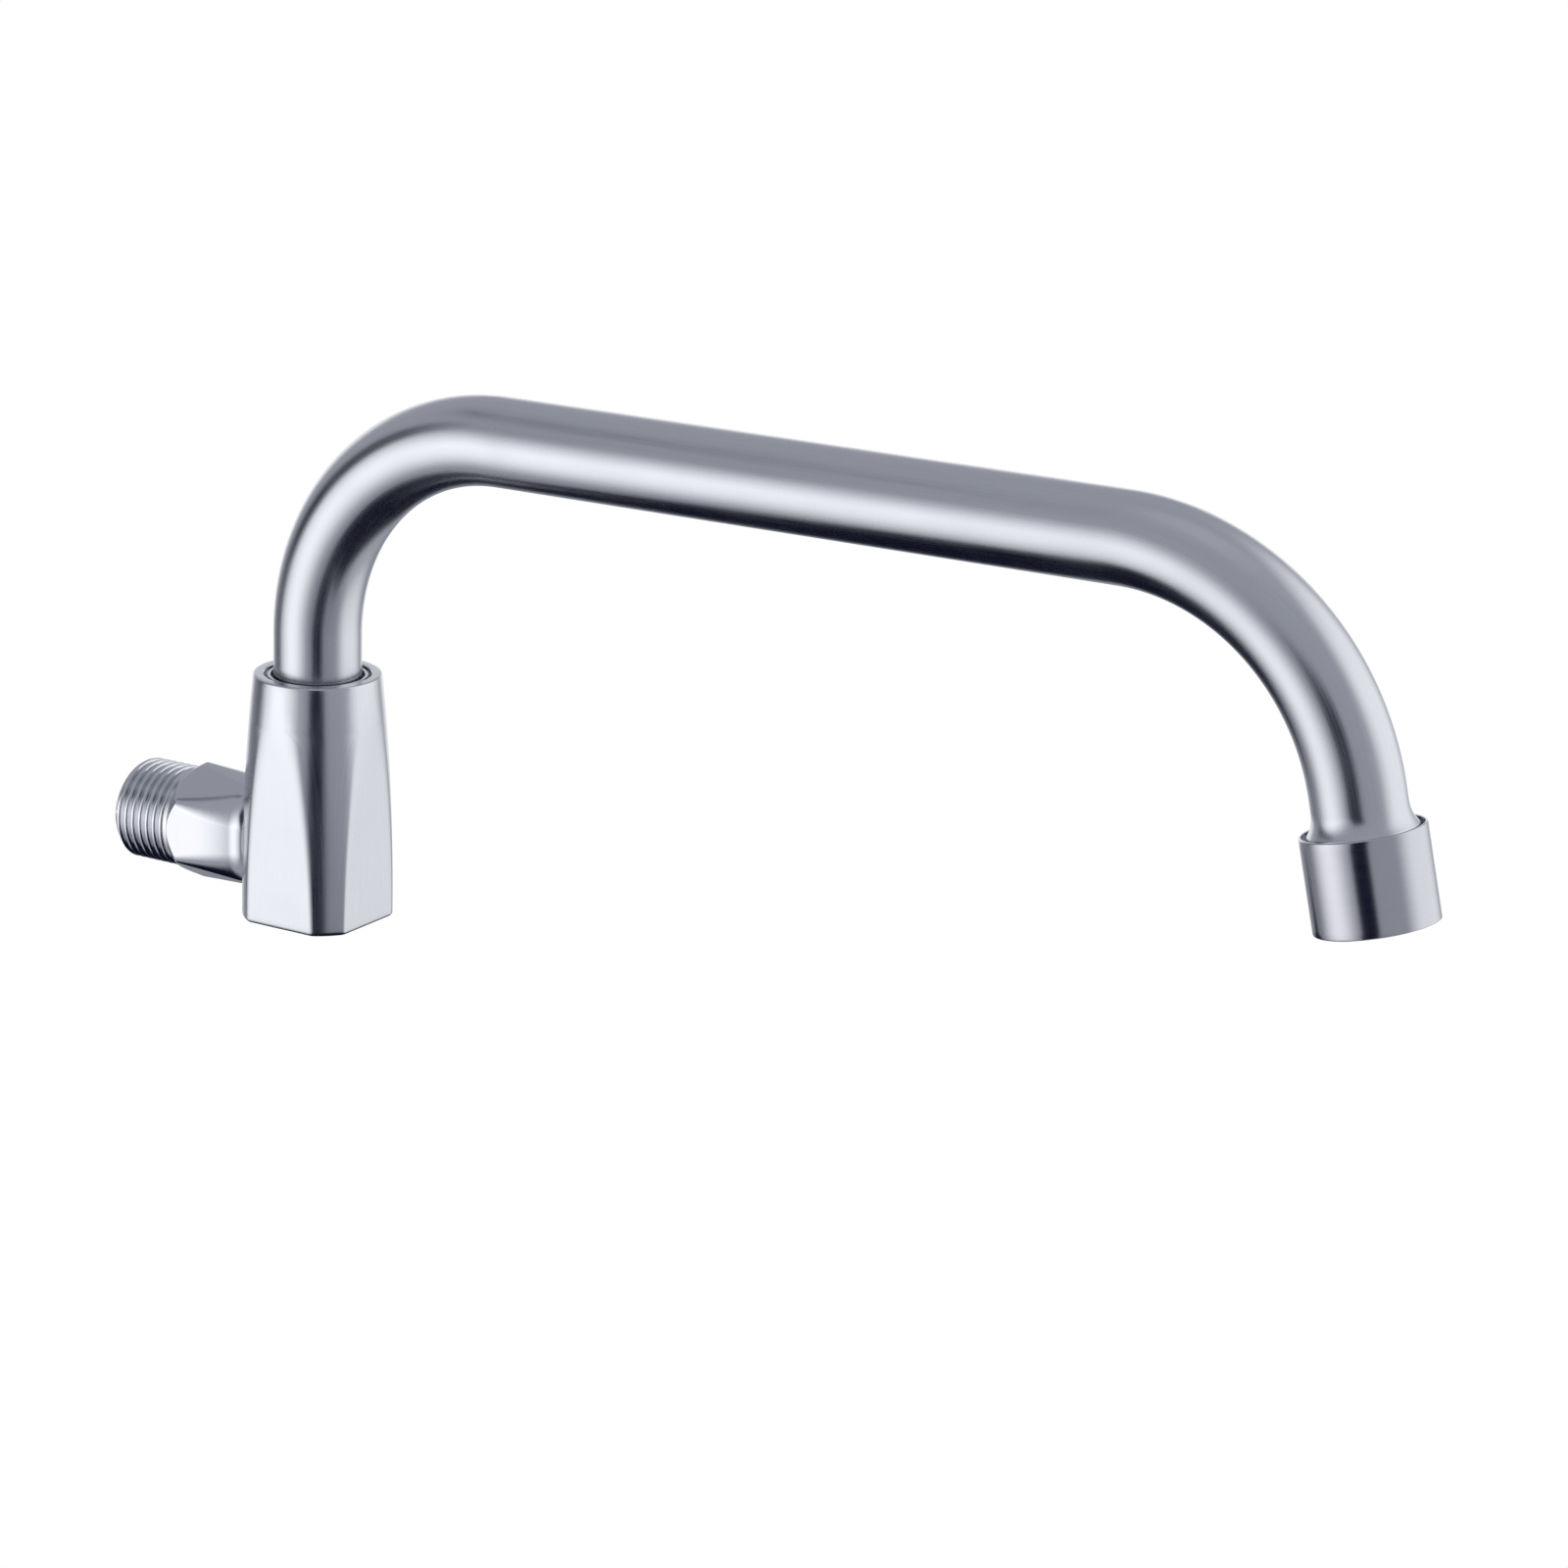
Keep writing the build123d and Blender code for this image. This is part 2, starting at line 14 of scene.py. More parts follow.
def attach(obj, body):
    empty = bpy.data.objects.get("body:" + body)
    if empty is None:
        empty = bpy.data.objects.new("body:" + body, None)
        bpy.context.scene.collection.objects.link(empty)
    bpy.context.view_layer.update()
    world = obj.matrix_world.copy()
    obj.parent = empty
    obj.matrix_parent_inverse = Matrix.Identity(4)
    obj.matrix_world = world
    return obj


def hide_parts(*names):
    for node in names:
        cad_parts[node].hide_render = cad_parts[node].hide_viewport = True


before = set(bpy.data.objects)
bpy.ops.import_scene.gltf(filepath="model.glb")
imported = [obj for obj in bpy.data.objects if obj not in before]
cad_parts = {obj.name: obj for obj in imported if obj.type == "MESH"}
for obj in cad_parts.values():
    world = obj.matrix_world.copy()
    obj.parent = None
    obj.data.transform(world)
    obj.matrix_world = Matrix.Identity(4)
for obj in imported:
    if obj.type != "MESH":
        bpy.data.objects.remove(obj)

# Wall-mounted cold water tap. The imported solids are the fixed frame, and this file
# gives the casting, the spout and the outlet their finished surfaces and metals.
# The tap's sizes are in millimetres and are turned to metres where a mesh is written.
# The studio's places and sizes are in metres.

LOG = logging.getLogger("cold_water_tap")
MM = 0.001
UV_LAYER = "lengths"
WHITE = (1.0, 1.0, 1.0, 1.0)
FORWARD, SIDEWAYS, UPWARD = np.eye(3)
Range = tuple[float, float]
Place = tuple[float, float, float]
# Place of the body's upright axis along the inlet, and sizes that the tube and the nozzle share
BODY_AXIS = 31.35
TUBE_RADIUS = 9.0
JOINT_RISE = 4.3


class Body(Enum):
    """The two rigid bodies of the tap, which the swivel joins."""

    TAP = "tap_body"
    SPOUT = "spout"


class Slot(Enum):
    """Material slots of the record that the finished pieces stand for."""

    SATIN_STEEL = "satin_steel"
    TURNED_STEEL = "turned_steel"
    POLISHED_STEEL = "polished_steel"
    BLACK_ACETAL = "black_acetal"


class Grain(Enum):
    """Which way the finest scratches of a surface run, as the turn of its highlights."""

    ALONG = 0.0
    AROUND = 0.25


def linear_colour(hex_code: str) -> tuple[float, float, float, float]:
    """Turns an sRGB hex colour to the linear values that a shader takes.

    Formula: each channel c is c / 12.92 below 0.04045, else ((c + 0.055) / 1.055) ^ 2.4.

    Args:
        hex_code: Colour as six hex digits after a hash sign.

    Returns:
        Linear red, green and blue with an alpha of one.
    """
    channels = [int(hex_code[i : i + 2], 16) / 255 for i in (1, 3, 5)]
    linear = [c / 12.92 if c < 0.04045 else ((c + 0.055) / 1.055) ** 2.4 for c in channels]
    return (linear[0], linear[1], linear[2], 1.0)


def around(middle: float, spread: float) -> Range:
    """The range from the middle less the spread to the middle plus the spread."""
    return (middle - spread, middle + spread)


def add_node(
    tree: NodeTree, kind: str, inputs: dict[str | int, object] | None = None, **settings: object
) -> Node:
    """Adds a node, sets its options, and sets or links its inputs.

    Args:
        tree: Node tree that takes the node.
        kind: Blender's type name of the node.
        inputs: Values by socket; an output socket given as a value is linked.
        settings: Options of the node itself, by attribute name.

    Returns:
        The new node.
    """
    node = tree.nodes.new(kind)
    for name, value in settings.items():
        setattr(node, name, value)
    for socket, value in (inputs or {}).items():
        if isinstance(value, NodeSocket):
            tree.links.new(value, node.inputs[socket])
        else:
            node.inputs[socket].default_value = value
    return node


def calculate(tree: NodeTree, operation: str, *values: NodeSocket | float) -> NodeSocket:
    """Adds one step of arithmetic on sockets or numbers, and returns its result."""
    node = add_node(tree, "ShaderNodeMath", dict(enumerate(values)), operation=operation)
    return node.outputs["Value"]


def remap(
    tree: NodeTree, value: NodeSocket, source: Range, target: Range, **settings: object
) -> NodeSocket:
    """Adds a step that carries a value from its place in one range to the same in another.

    Args:
        tree: Node tree that takes the step.
        value: The value.
        source: Range that it comes from.
        target: Range that it goes to.
        settings: Options of the node, by attribute name.

    Returns:
        The carried value.
    """
    limits = dict(zip(("From Min", "From Max", "To Min", "To Max"), source + target))
    node = add_node(tree, "ShaderNodeMapRange", {"Value": value, **limits}, **settings)
    return node.outputs["Result"]


def object_noise(tree: NodeTree, size: float, detail: float) -> NodeSocket:
    """Adds noise in Object coordinates.

    Args:
        tree: Node tree that takes the noise.
        size: Distance between its grains, in millimetres.
        detail: Number of finer layers on top.

    Returns:
        The noise, about 0.5 in the middle.
    """
    place = add_node(tree, "ShaderNodeTexCoord").outputs["Object"]
    inputs = {"Vector": place, "Scale": 1 / (size * MM), "Detail": detail}
    return add_node(tree, "ShaderNodeTexNoise", inputs).outputs["Fac"]


def soft_mask(tree: NodeTree, place: NodeSocket, border: float) -> NodeSocket:
    """Adds a mask over a square whose sides run from 0 to 1.

    Formula: the mask is one in the middle and falls to nothing at the edge by a smooth
    step, across and down, over the border's share of the half width.

    Args:
        tree: Node tree that takes the mask.
        place: Place in the square.
        border: Share of the half width that fades.

    Returns:
        The mask's value.
    """
    apart = add_node(tree, "ShaderNodeSeparateXYZ", {0: place})
    fading = (0.5 - 0.5 * border, 0.5)
    masks = []
    for side in ("X", "Y"):
        away = calculate(tree, "ABSOLUTE", calculate(tree, "SUBTRACT", apart.outputs[side], 0.5))
        masks.append(remap(tree, away, fading, (1.0, 0.0), interpolation_type="SMOOTHSTEP"))
    return calculate(tree, "MULTIPLY", *masks)


def empty_tree(owner: Material | Light | World) -> NodeTree:
    """Gives a material, a lamp or a world an empty node tree.

    Args:
        owner: What the tree belongs to.

    Returns:
        The tree.
    """
    owner.use_nodes = True
    owner.node_tree.nodes.clear()
    return owner.node_tree


def link_new(name: str, data: ID) -> Object:
    """Makes an object of its data and links it to the scene.

    Args:
        name: Name of the object.
        data: Mesh, lamp or camera.

    Returns:
        The object.
    """
    made = bpy.data.objects.new(name, data)
    bpy.context.scene.collection.objects.link(made)
    return made


def close_material(
    tree: NodeTree, relief: NodeSocket, height: float, shading: dict[str, object]
) -> None:
    """Ends a material in its bump and its surface shader.

    Args:
        tree: The material's nodes.
        relief: The surface's relief, as a share of its height.
        height: Height of the relief, in millimetres.
        shading: Values or sockets of the shader, by input.
    """
    raised = {"Height": relief, "Strength": 1.0, "Distance": height * MM}
    normal = add_node(tree, "ShaderNodeBump", raised).outputs["Normal"]
    shader = add_node(tree, "ShaderNodeBsdfPrincipled", {**shading, "Normal": normal})
    add_node(tree, "ShaderNodeOutputMaterial", {"Surface": shader.outputs["BSDF"]})


# Finishes


@dataclass(frozen=True)
class BrushedSteel:
    """Stainless steel with the fine parallel scratches of an abrasive belt.

    The scratches follow the piece's own UV map, whose two axes are real lengths in metres:
    U runs along the piece and V around it.
    """

    name: str
    colour: str
    shade: str
    roughness: float
    roughness_spread: float
    grain: Grain
    scratch_width: float
    scratch_length: float
    scratch_height: float
    anisotropy: float
    cloud_size: float = 14.0
    cloud_detail: float = 2.0
    noise_range: Range = (0.6, 1.4)

    def make(self) -> Material:
        """Builds the metal: stretched noise is the scratches, and wide noise their unevenness.

        Returns:
            The finished material.
        """
        material = bpy.data.materials.new(self.name)
        tree = empty_tree(material)
        uv = add_node(tree, "ShaderNodeUVMap", uv_map=UV_LAYER).outputs["UV"]
        along, across = 1 / (self.scratch_length * MM), 1 / (self.scratch_width * MM)
        scale = (along, across, 1.0) if self.grain is Grain.ALONG else (across, along, 1.0)
        stretched = add_node(tree, "ShaderNodeMapping", {"Vector": uv, "Scale": scale})
        scratches = add_node(
            tree,
            "ShaderNodeTexNoise",
            {"Vector": stretched.outputs["Vector"], "Scale": 1.0, "Detail": 3.0, "Roughness": 0.6},
            noise_dimensions="2D",
        ).outputs["Fac"]
        # A Mix node takes its share at input 0 and two colours at 6 and 7, and gives output 2.
        tones = {0: scratches, 6: linear_colour(self.shade), 7: linear_colour(self.colour)}
        tint = add_node(tree, "ShaderNodeMix", tones, data_type="RGBA")
        clouds = object_noise(tree, self.cloud_size, self.cloud_detail)
        uneven = calculate(tree, "ADD", scratches, clouds)
        gloss = around(self.roughness, self.roughness_spread)
        tangent = add_node(tree, "ShaderNodeTangent", direction_type="UV_MAP", uv_map=UV_LAYER)
        shading = {
            "Base Color": tint.outputs[2],
            "Metallic": 1.0,
            "Roughness": remap(tree, uneven, self.noise_range, gloss),
            "Anisotropic": self.anisotropy,
            "Anisotropic Rotation": self.grain.value,
            "Tangent": tangent.outputs["Tangent"],
        }
        close_material(tree, scratches, self.scratch_height, shading)
        return material


@dataclass(frozen=True)
class GrainedSurface:
    """Turned steel, or moulded plastic or rubber, whose fine texture has no direction.

    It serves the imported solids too, which have no UV map, so it reads Object coordinates.
    A polymer has its index of refraction, and a metal has none.
    """

    name: str
    colour: str
    roughness: float
    grain_size: float
    grain_height: float
    ior: float | None = None
    roughness_spread: float = 0.06
    detail: float = 3.0
    noise_range: Range = (0.3, 0.7)

    def make(self) -> Material:
        """Builds the surface: fine noise is the torn grain of the cut or the mould's texture.

        Returns:
            The finished material.
        """
        material = bpy.data.materials.new(self.name)
        tree = empty_tree(material)
        texture = object_noise(tree, self.grain_size, self.detail)
        gloss = around(self.roughness, self.roughness_spread)
        shading = {
            "Base Color": linear_colour(self.colour),
            "Roughness": remap(tree, texture, self.noise_range, gloss),
            **({"Metallic": 1.0} if self.ior is None else {"IOR": self.ior}),
        }
        close_material(tree, texture, self.grain_height, shading)
        return material


# Surfaces on a grid


def write_grid(
    name: str, points: np.ndarray, wrap_rows: bool, poles: tuple[np.ndarray, ...] = ()
) -> Object:
    """Writes a grid of points as a closed surface with a UV map of real lengths.

    Formula: corner (r, c) of the grid joins (r + 1, c), and columns always close on
    themselves. Rows close on themselves too, or end in a pole. U is the length walked
    along the rows at the widest column, V the length walked around the widest row. A
    surface that holds a negative volume is turned inside out.

    Args:
        name: Name of the new object.
        points: Array of rows by columns by 3, in millimetres.
        wrap_rows: Whether the last row joins the first.
        poles: Points that close the first and the last row when rows do not wrap.

    Returns:
        The object, at the origin, with its place in its mesh in metres.
    """
    rows, columns = points.shape[:2]
    row_count = rows if wrap_rows else rows - 1
    r, c = np.meshgrid(np.arange(row_count), np.arange(columns), indexing="ij")
    corner_rows = np.stack([r, r, r + 1, r + 1], axis=-1).reshape(-1, 4)
    corner_columns = np.stack([c, c + 1, c + 1, c], axis=-1).reshape(-1, 4)
    faces = ((corner_rows % rows) * columns + corner_columns % columns).tolist()
    closed = np.concatenate([points, points[:1]]) if wrap_rows else points
    steps = np.linalg.norm(np.diff(closed, axis=0), axis=2)
    walked = np.concatenate([[0.0], np.cumsum(steps.max(axis=1))])
    girth = np.linalg.norm(np.roll(points, -1, axis=1) - points, axis=2).sum(axis=1).max()
    uv = np.stack([walked[corner_rows], corner_columns / columns * girth], axis=-1).reshape(-1, 2)
    ring = np.arange(columns)
    for end in range(len(poles)):
        near, far = (ring, ring + 1) if end else (ring + 1, ring)
        base = end * (rows - 1) * columns
        tip = np.full(columns, rows * columns + end)
        faces += np.stack([base + near % columns, base + far % columns, tip], axis=1).tolist()
        fan_u = walked[end * row_count] + np.tile([0.0, 0.0, 2.0 * end - 1.0], (columns, 1))
        fan_v = np.stack([near, far, ring + 0.5], axis=1) / columns * girth
        uv = np.concatenate([uv, np.stack([fan_u, fan_v], axis=-1).reshape(-1, 2)])
    vertices = np.concatenate([points.reshape(-1, 3), np.array(poles).reshape(-1, 3)])
    mesh = bpy.data.meshes.new(name)
    mesh.from_pydata((vertices * MM).tolist(), [], faces)
    layer = mesh.uv_layers.new(name=UV_LAYER)
    layer.data.foreach_set("uv", (uv * MM).astype(np.float32).ravel())
    mesh.validate()
    mesh.shade_smooth()
    shell = bmesh.new()
    shell.from_mesh(mesh)
    if shell.calc_volume(signed=True) < 0:
        mesh.flip_normals()
    shell.free()
    return link_new(name, mesh)


def smooth_least(one: np.ndarray, other: np.ndarray, width: np.ndarray | float) -> np.ndarray:
    """The lesser of two radii, less max(width - |one - other|, 0)^2 / (4 width)."""
    blend = np.maximum(width - np.abs(one - other), 0)
    return np.minimum(one, other) - blend**2 / (4 * width)


def rounded_profile(corners: list[Place], arc_steps: int = 6) -> np.ndarray:
    """Rounds the corners of a closed profile.

    Formula: a round of radius r touches both sides at r / tan(half the corner's angle)
    from the corner, and its centre lies on the corner's bisector. The arc is walked by
    turning from one touching point to the other about that centre. Places are complex
    numbers here, so that turning one is a product.

    Args:
        corners: Closed profile as (x, y, radius of the round) in millimetres.
        arc_steps: Number of steps in each round.

    Returns:
        Points of the profile, as an array of n by 2.
    """
    places = np.array([complex(x, y) for x, y, _ in corners])
    walked = []
    befores, afters = np.roll(places, 1), np.roll(places, -1)
    for place, before, after, (_, _, radius) in zip(places, befores, afters, corners):
        if radius <= 0:
            walked.append([place])
            continue
        back, forth = before - place, after - place
        back, forth = back / abs(back), forth / abs(forth)
        across = back.conjugate() * forth
        half = math.acos(np.clip(across.real, -1, 1)) / 2
        centre = place + (back + forth) / abs(back + forth) * radius / math.sin(half)
        start = place + back * radius / math.tan(half) - centre
        sweep = math.copysign(math.pi - 2 * half, -across.imag)
        walked.append(centre + start * np.exp(1j * np.linspace(0, sweep, arc_steps + 1)))
    points = np.concatenate(walked)
    return np.stack([points.real, points.imag], axis=1)


def subdivided(profile: np.ndarray, longest: float) -> np.ndarray:
    """Divides the long sides of a closed profile so that its UV map and shading stay even.

    Args:
        profile: Closed profile, n by 2, in millimetres.
        longest: Longest side that is left whole.

    Returns:
        The same profile with more points.
    """
    walked = []
    for start, end in zip(profile, np.roll(profile, -1, axis=0)):
        count = max(1, math.ceil(float(np.linalg.norm(end - start)) / longest))
        walked.append(start + (end - start) * (np.arange(count) / count)[:, None])
    return np.concatenate(walked)


@dataclass(frozen=True)
class TurningAxis:
    """A place and a direction that a turned piece is made about."""

    origin: np.ndarray
    direction: np.ndarray
    radial: np.ndarray

    def points(self, profile: np.ndarray, columns: int) -> np.ndarray:
        """Turns a profile about the axis.

        Formula: origin + height * direction + radius * (cos a * radial + sin a * third),
        where third is across both.

        Args:
            profile: Radii and heights, n by 2, in millimetres.
            columns: Number of steps around.

        Returns:
            Grid of points, n by columns by 3.
        """
        angle = np.arange(columns) * 2 * np.pi / columns
        third = np.cross(self.direction, self.radial)
        spoke = np.cos(angle)[:, None] * self.radial + np.sin(angle)[:, None] * third
        radius, height = profile[:, 0, None, None], profile[:, 1, None, None]
        return self.origin + height * self.direction + radius * spoke

    def turned(self, name: str, profile: np.ndarray, longest: float, columns: int) -> Object:
        """Turns a closed profile, whose long sides are divided first, into a ring of columns."""
        return write_grid(name, self.points(subdivided(profile, longest), columns), True)


def hand_over(
    piece: Object, material: Material, body: Body, node: str, sharp_angle: float = 40.0
) -> None:
    """Finishes a piece: its shading, its material and its place in the assembly.

    Args:
        piece: The piece.
        material: Its material.
        body: Body that carries the piece.
        node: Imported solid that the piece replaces.
        sharp_angle: Edges that turn by more than this, in degrees, stay sharp.
    """
    piece.data.set_sharp_from_angle(angle=math.radians(sharp_angle))
    piece.data.materials.append(material)
    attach(piece, body.value)
    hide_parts(node)
    LOG.info("built %s, %d faces", piece.name, len(piece.data.polygons))


def dress_node(node: str, material: Material) -> None:
    """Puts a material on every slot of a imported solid.

    Args:
        node: Name of the solid.
        material: Its material.
    """
    for material_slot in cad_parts[node].material_slots:
        material_slot.material = material
    LOG.info("dressed %s with %s", node, material.name)


# The finishes of this tap

SATIN_TUBE = BrushedSteel(
    name="satin_belted_stainless_tube", colour="#d3d5db", shade="#c6c8ce",
    roughness=0.26, roughness_spread=0.05, grain=Grain.ALONG, anisotropy=0.35,
    scratch_width=0.35, scratch_length=30.0, scratch_height=0.004,
)
SATIN_CASTING = BrushedSteel(
    name="satin_ground_stainless_casting", colour="#d6d8dd", shade="#c8cad0",
    roughness=0.25, roughness_spread=0.05, grain=Grain.ALONG, anisotropy=0.3,
    scratch_width=0.35, scratch_length=18.0, scratch_height=0.003,
)
POLISHED_INLET = BrushedSteel(
    name="polished_stainless_casting", colour="#d8dadf", shade="#cdcfd5",
    roughness=0.13, roughness_spread=0.04, grain=Grain.AROUND, anisotropy=0.1,
    scratch_width=0.3, scratch_length=12.0, scratch_height=0.0015,
)
POLISHED_COLLAR = BrushedSteel(
    name="polished_stainless_collar", colour="#c6c7ce", shade="#bcbdc4",
    roughness=0.17, roughness_spread=0.03, grain=Grain.AROUND, anisotropy=0.2,
    scratch_width=0.25, scratch_length=40.0, scratch_height=0.002,
)
TURNED_STAINLESS = GrainedSurface(
    name="turned_stainless_steel", colour="#c4c5ca", roughness=0.24, roughness_spread=0.05,
    grain_size=0.4, grain_height=0.004, detail=4.0,
)
BLACK_BUSH = GrainedSurface(
    name="moulded_black_acetal", colour="#1a1b1e", roughness=0.42, ior=1.48,
    grain_size=0.25, grain_height=0.006,
)
WHITE_RINGS = GrainedSurface(
    name="moulded_white_acetal", colour="#e8e7e2", roughness=0.38, ior=1.48,
    grain_size=0.25, grain_height=0.005,
)
GREY_INSERT = GrainedSurface(
    name="moulded_grey_abs", colour="#9a9da3", roughness=0.4, ior=1.53,
    grain_size=0.25, grain_height=0.005,
)
SEAL_RUBBER = GrainedSurface(
    name="moulded_nitrile_rubber", colour="#1c1c1d", roughness=0.6, ior=1.52,
    grain_size=0.2, grain_height=0.008,
)


# Sub-assemblies


@dataclass
class InletThread:
    """The G1/2 male thread and the plain land behind it."""

    crest_radius: float = 10.4775
    pitch: float = 1.814
    depth: float = 1.05
    groove_power: float = 2.4
    start: float = -14.2
    run: float = 13.55
    land: float = 1.3
    lead_radius: float = 9.0
    lead_length: float = 1.7
    bore_radius: float = 6.5
    bore_chamfer: float = 0.6
    rows_per_pitch: int = 16

    def radii(self, x: np.ndarray, angle: np.ndarray) -> np.ndarray:
        """Works out the thread's radius at places along and around the inlet.

        Formula: the phase is (x - pitch * angle / turn) / pitch, and the radius falls from
        the crest by the depth times ((1 - cos of the phase) / 2) ^ groove_power, which
        leaves wide rounded crests and narrow grooves. The lead cone caps it at the start.

        Args:
            x: Places along the inlet, in millimetres.
            angle: Angles around it, in radians.

        Returns:
            Radii in millimetres.
        """
        phase = (x - self.start - self.pitch * angle / (2 * np.pi)) / self.pitch
        groove = ((1 - np.cos(2 * np.pi * phase)) / 2) ** self.groove_power
        slope = (self.crest_radius - self.lead_radius) / self.lead_length
        cone = self.lead_radius + slope * (x - self.start)
        return np.minimum(self.crest_radius - self.depth * groove, cone)

    def rows(self) -> np.ndarray:
        """Places along the inlet at which the thread has a row of points."""
        count = round(self.run / self.pitch * self.rows_per_pitch)
        return np.linspace(self.start, self.start + self.run, count + 1)


@dataclass
class InletNeck:
    """The hexagon behind the land, the waist, and the root that swells into the body."""

    start: float = 0.65
    half_width: float = 11.0
    crown: float = 12.702
    edge_round: float = 1.0
    chamfer_start: float = 0.7
    chamfer_foot: float = 11.0
    chamfer_slope: float = math.tan(math.radians(32))
    waist: float = 15.6
    waist_half_width: float = 9.6
    waist_crown: float = 12.85
    waist_keel: float = 12.8
    waist_round: float = 9.0
    waist_curve: float = 3.0
    root_turn: float = 4.0
    root_slope: float = 0.5
    root_end: float = 23.4
    root_half_width: float = 12.95
    root_blend: float = 2.6
    crown_spread: float = 0.25
    columns_per_corner: int = 60
    corner_crowding: float = 0.75
    round_reach: float = 0.62
    least_facing: float = 0.2
    farthest: float = 60.0
    chamfer_least: float = 10.9
    chamfer_end: float = 3.4
    chamfer_rows: int = 26
    prism_start: float = 3.7
    prism_rows: int = 32
    root_rows: int = 40
    root_trials: int = 12
    side_facing: Range = (0.68, 0.92)
    sink: float = 0.8

    def angles(self) -> np.ndarray:
        """Angles of the columns, closer together near the six corners.

        Formula: within each sextant the place s in -1..1 about the corner is turned to
        30 degrees * ((1 - c) s + c s^3), where c is the crowding.

        Returns:
            Angles in radians from the side of the neck, one full turn.
        """
        s = (np.arange(self.columns_per_corner) + 0.5) / self.columns_per_corner * 2 - 1
        crowding = self.corner_crowding
        within = math.radians(30) * ((1 - crowding) * s + crowding * s**3)
        corners = np.radians(30 + 60 * np.arange(6))
        return (corners[:, None] + within).ravel()

    def radii(self, x: np.ndarray, angle: np.ndarray) -> np.ndarray:
        """Works out the neck's radius at places along and around the inlet.

        Formula: the section has six sides, and a side with normal n and distance d has the
        radius d / cos(angle - n). The least of the six is the plain section, and a smooth
        least of the nearest two rounds its corners. From the hexagon to the waist the half
        width changes by the share of the way to the power waist_curve, and the crown, the
        keel and the rounds by the share itself. The chamfer's cone caps the corners.

        Args:
            x: Places along the inlet, as a column.
            angle: Angles around it, as a row.

        Returns:
            Radii, rows by columns.
        """
        share = np.clip((x - self.start) / (self.waist - self.start), 0, None)
        narrowed = (self.waist_half_width - self.half_width) * share**self.waist_curve
        half_width = self.half_width + narrowed
        lean = math.cos(math.radians(30))
        upper = (self.crown + (self.waist_crown - self.crown) * share) * lean
        lower = (self.crown + (self.waist_keel - self.crown) * share) * lean
        edge_round = self.edge_round + (self.waist_round - self.edge_round) * share
        radii = []
        for side, distance in enumerate((half_width, upper, upper, half_width, lower, lower)):
            facing = np.cos(angle - math.radians(60.0 * side))
            reach = distance / np.maximum(facing, self.least_facing)
            radii.append(np.where(facing > self.least_facing, reach, self.farthest))
        nearest, second = np.sort(np.stack(radii), axis=0)[:2]
        section = smooth_least(nearest, second, edge_round * self.round_reach)
        cone = self.chamfer_foot + (x - self.chamfer_start) * self.chamfer_slope
        return np.minimum(section, np.maximum(cone, self.chamfer_least))

    def rows(self) -> np.ndarray:
        """Spreads the rows along the neck: close on the chamfer, where it turns fast.

        Returns:
            Places along the inlet.
        """
        chamfer = np.linspace(self.chamfer_start, self.chamfer_end, self.chamfer_rows)
        further = np.linspace(self.prism_start, self.waist, self.prism_rows)
        return np.concatenate([[self.start], chamfer, further])

    def root(
        self, angle: np.ndarray, body_side: Callable[[np.ndarray, np.ndarray], np.ndarray]
    ) -> tuple[np.ndarray, np.ndarray]:
        """Works out the rows of the root, which fairs the neck into the body's side.

        Formula: at the walk w past the waist the radius follows the neck's own slope s as
        r + s w + (m - s) w^2 / (2 turn), and past the turn it climbs straight at the slope
        m, until it sinks below the body's flat. m is the root's slope on the sides and its
        share crown_spread on the crown and the keel. A smooth least keeps it inside the
        root's half width. Where the root sinks is found by a few rounds of trial.

        Args:
            angle: Angles around the inlet.
            body_side: Gives the place along the inlet of the body's side, by y and z.

        Returns:
            Places along the inlet and radii, each rows by columns.
        """
        step = 0.1
        ends = self.radii(np.array([[self.waist - step], [self.waist]]), angle[None])
        slope = (ends[1] - ends[0]) / step
        facing = np.abs(np.cos(angle))
        crown_end, side_start = self.side_facing
        side = np.clip((facing - crown_end) / (side_start - crown_end), 0, 1)
        side = side * side * (3 - 2 * side)
        climb = self.root_slope * (self.crown_spread + (1 - self.crown_spread) * side)

        def radii_at(walk: np.ndarray) -> np.ndarray:
            """Works out the formula above.

            Args:
                walk: Walks past the waist.

            Returns:
                Radii.
            """
            turned = np.minimum(walk, self.root_turn)
            radii = ends[1] + slope * turned + (climb - slope) * turned**2 / (2 * self.root_turn)
            cap = self.root_half_width / np.maximum(facing, self.least_facing)
            return smooth_least(radii + climb * (walk - turned), cap, self.root_blend)

        span = self.root_end - self.waist
        for _ in range(self.root_trials):
            last = radii_at(np.broadcast_to(span, angle.shape))
            reached = body_side(last * np.cos(angle), last * np.sin(angle)) + self.sink
            span = np.minimum(reached, self.root_end) - self.waist
        walk = span * np.linspace(0, 1, self.root_rows)[1:, None]
        return self.waist + walk, radii_at(walk)


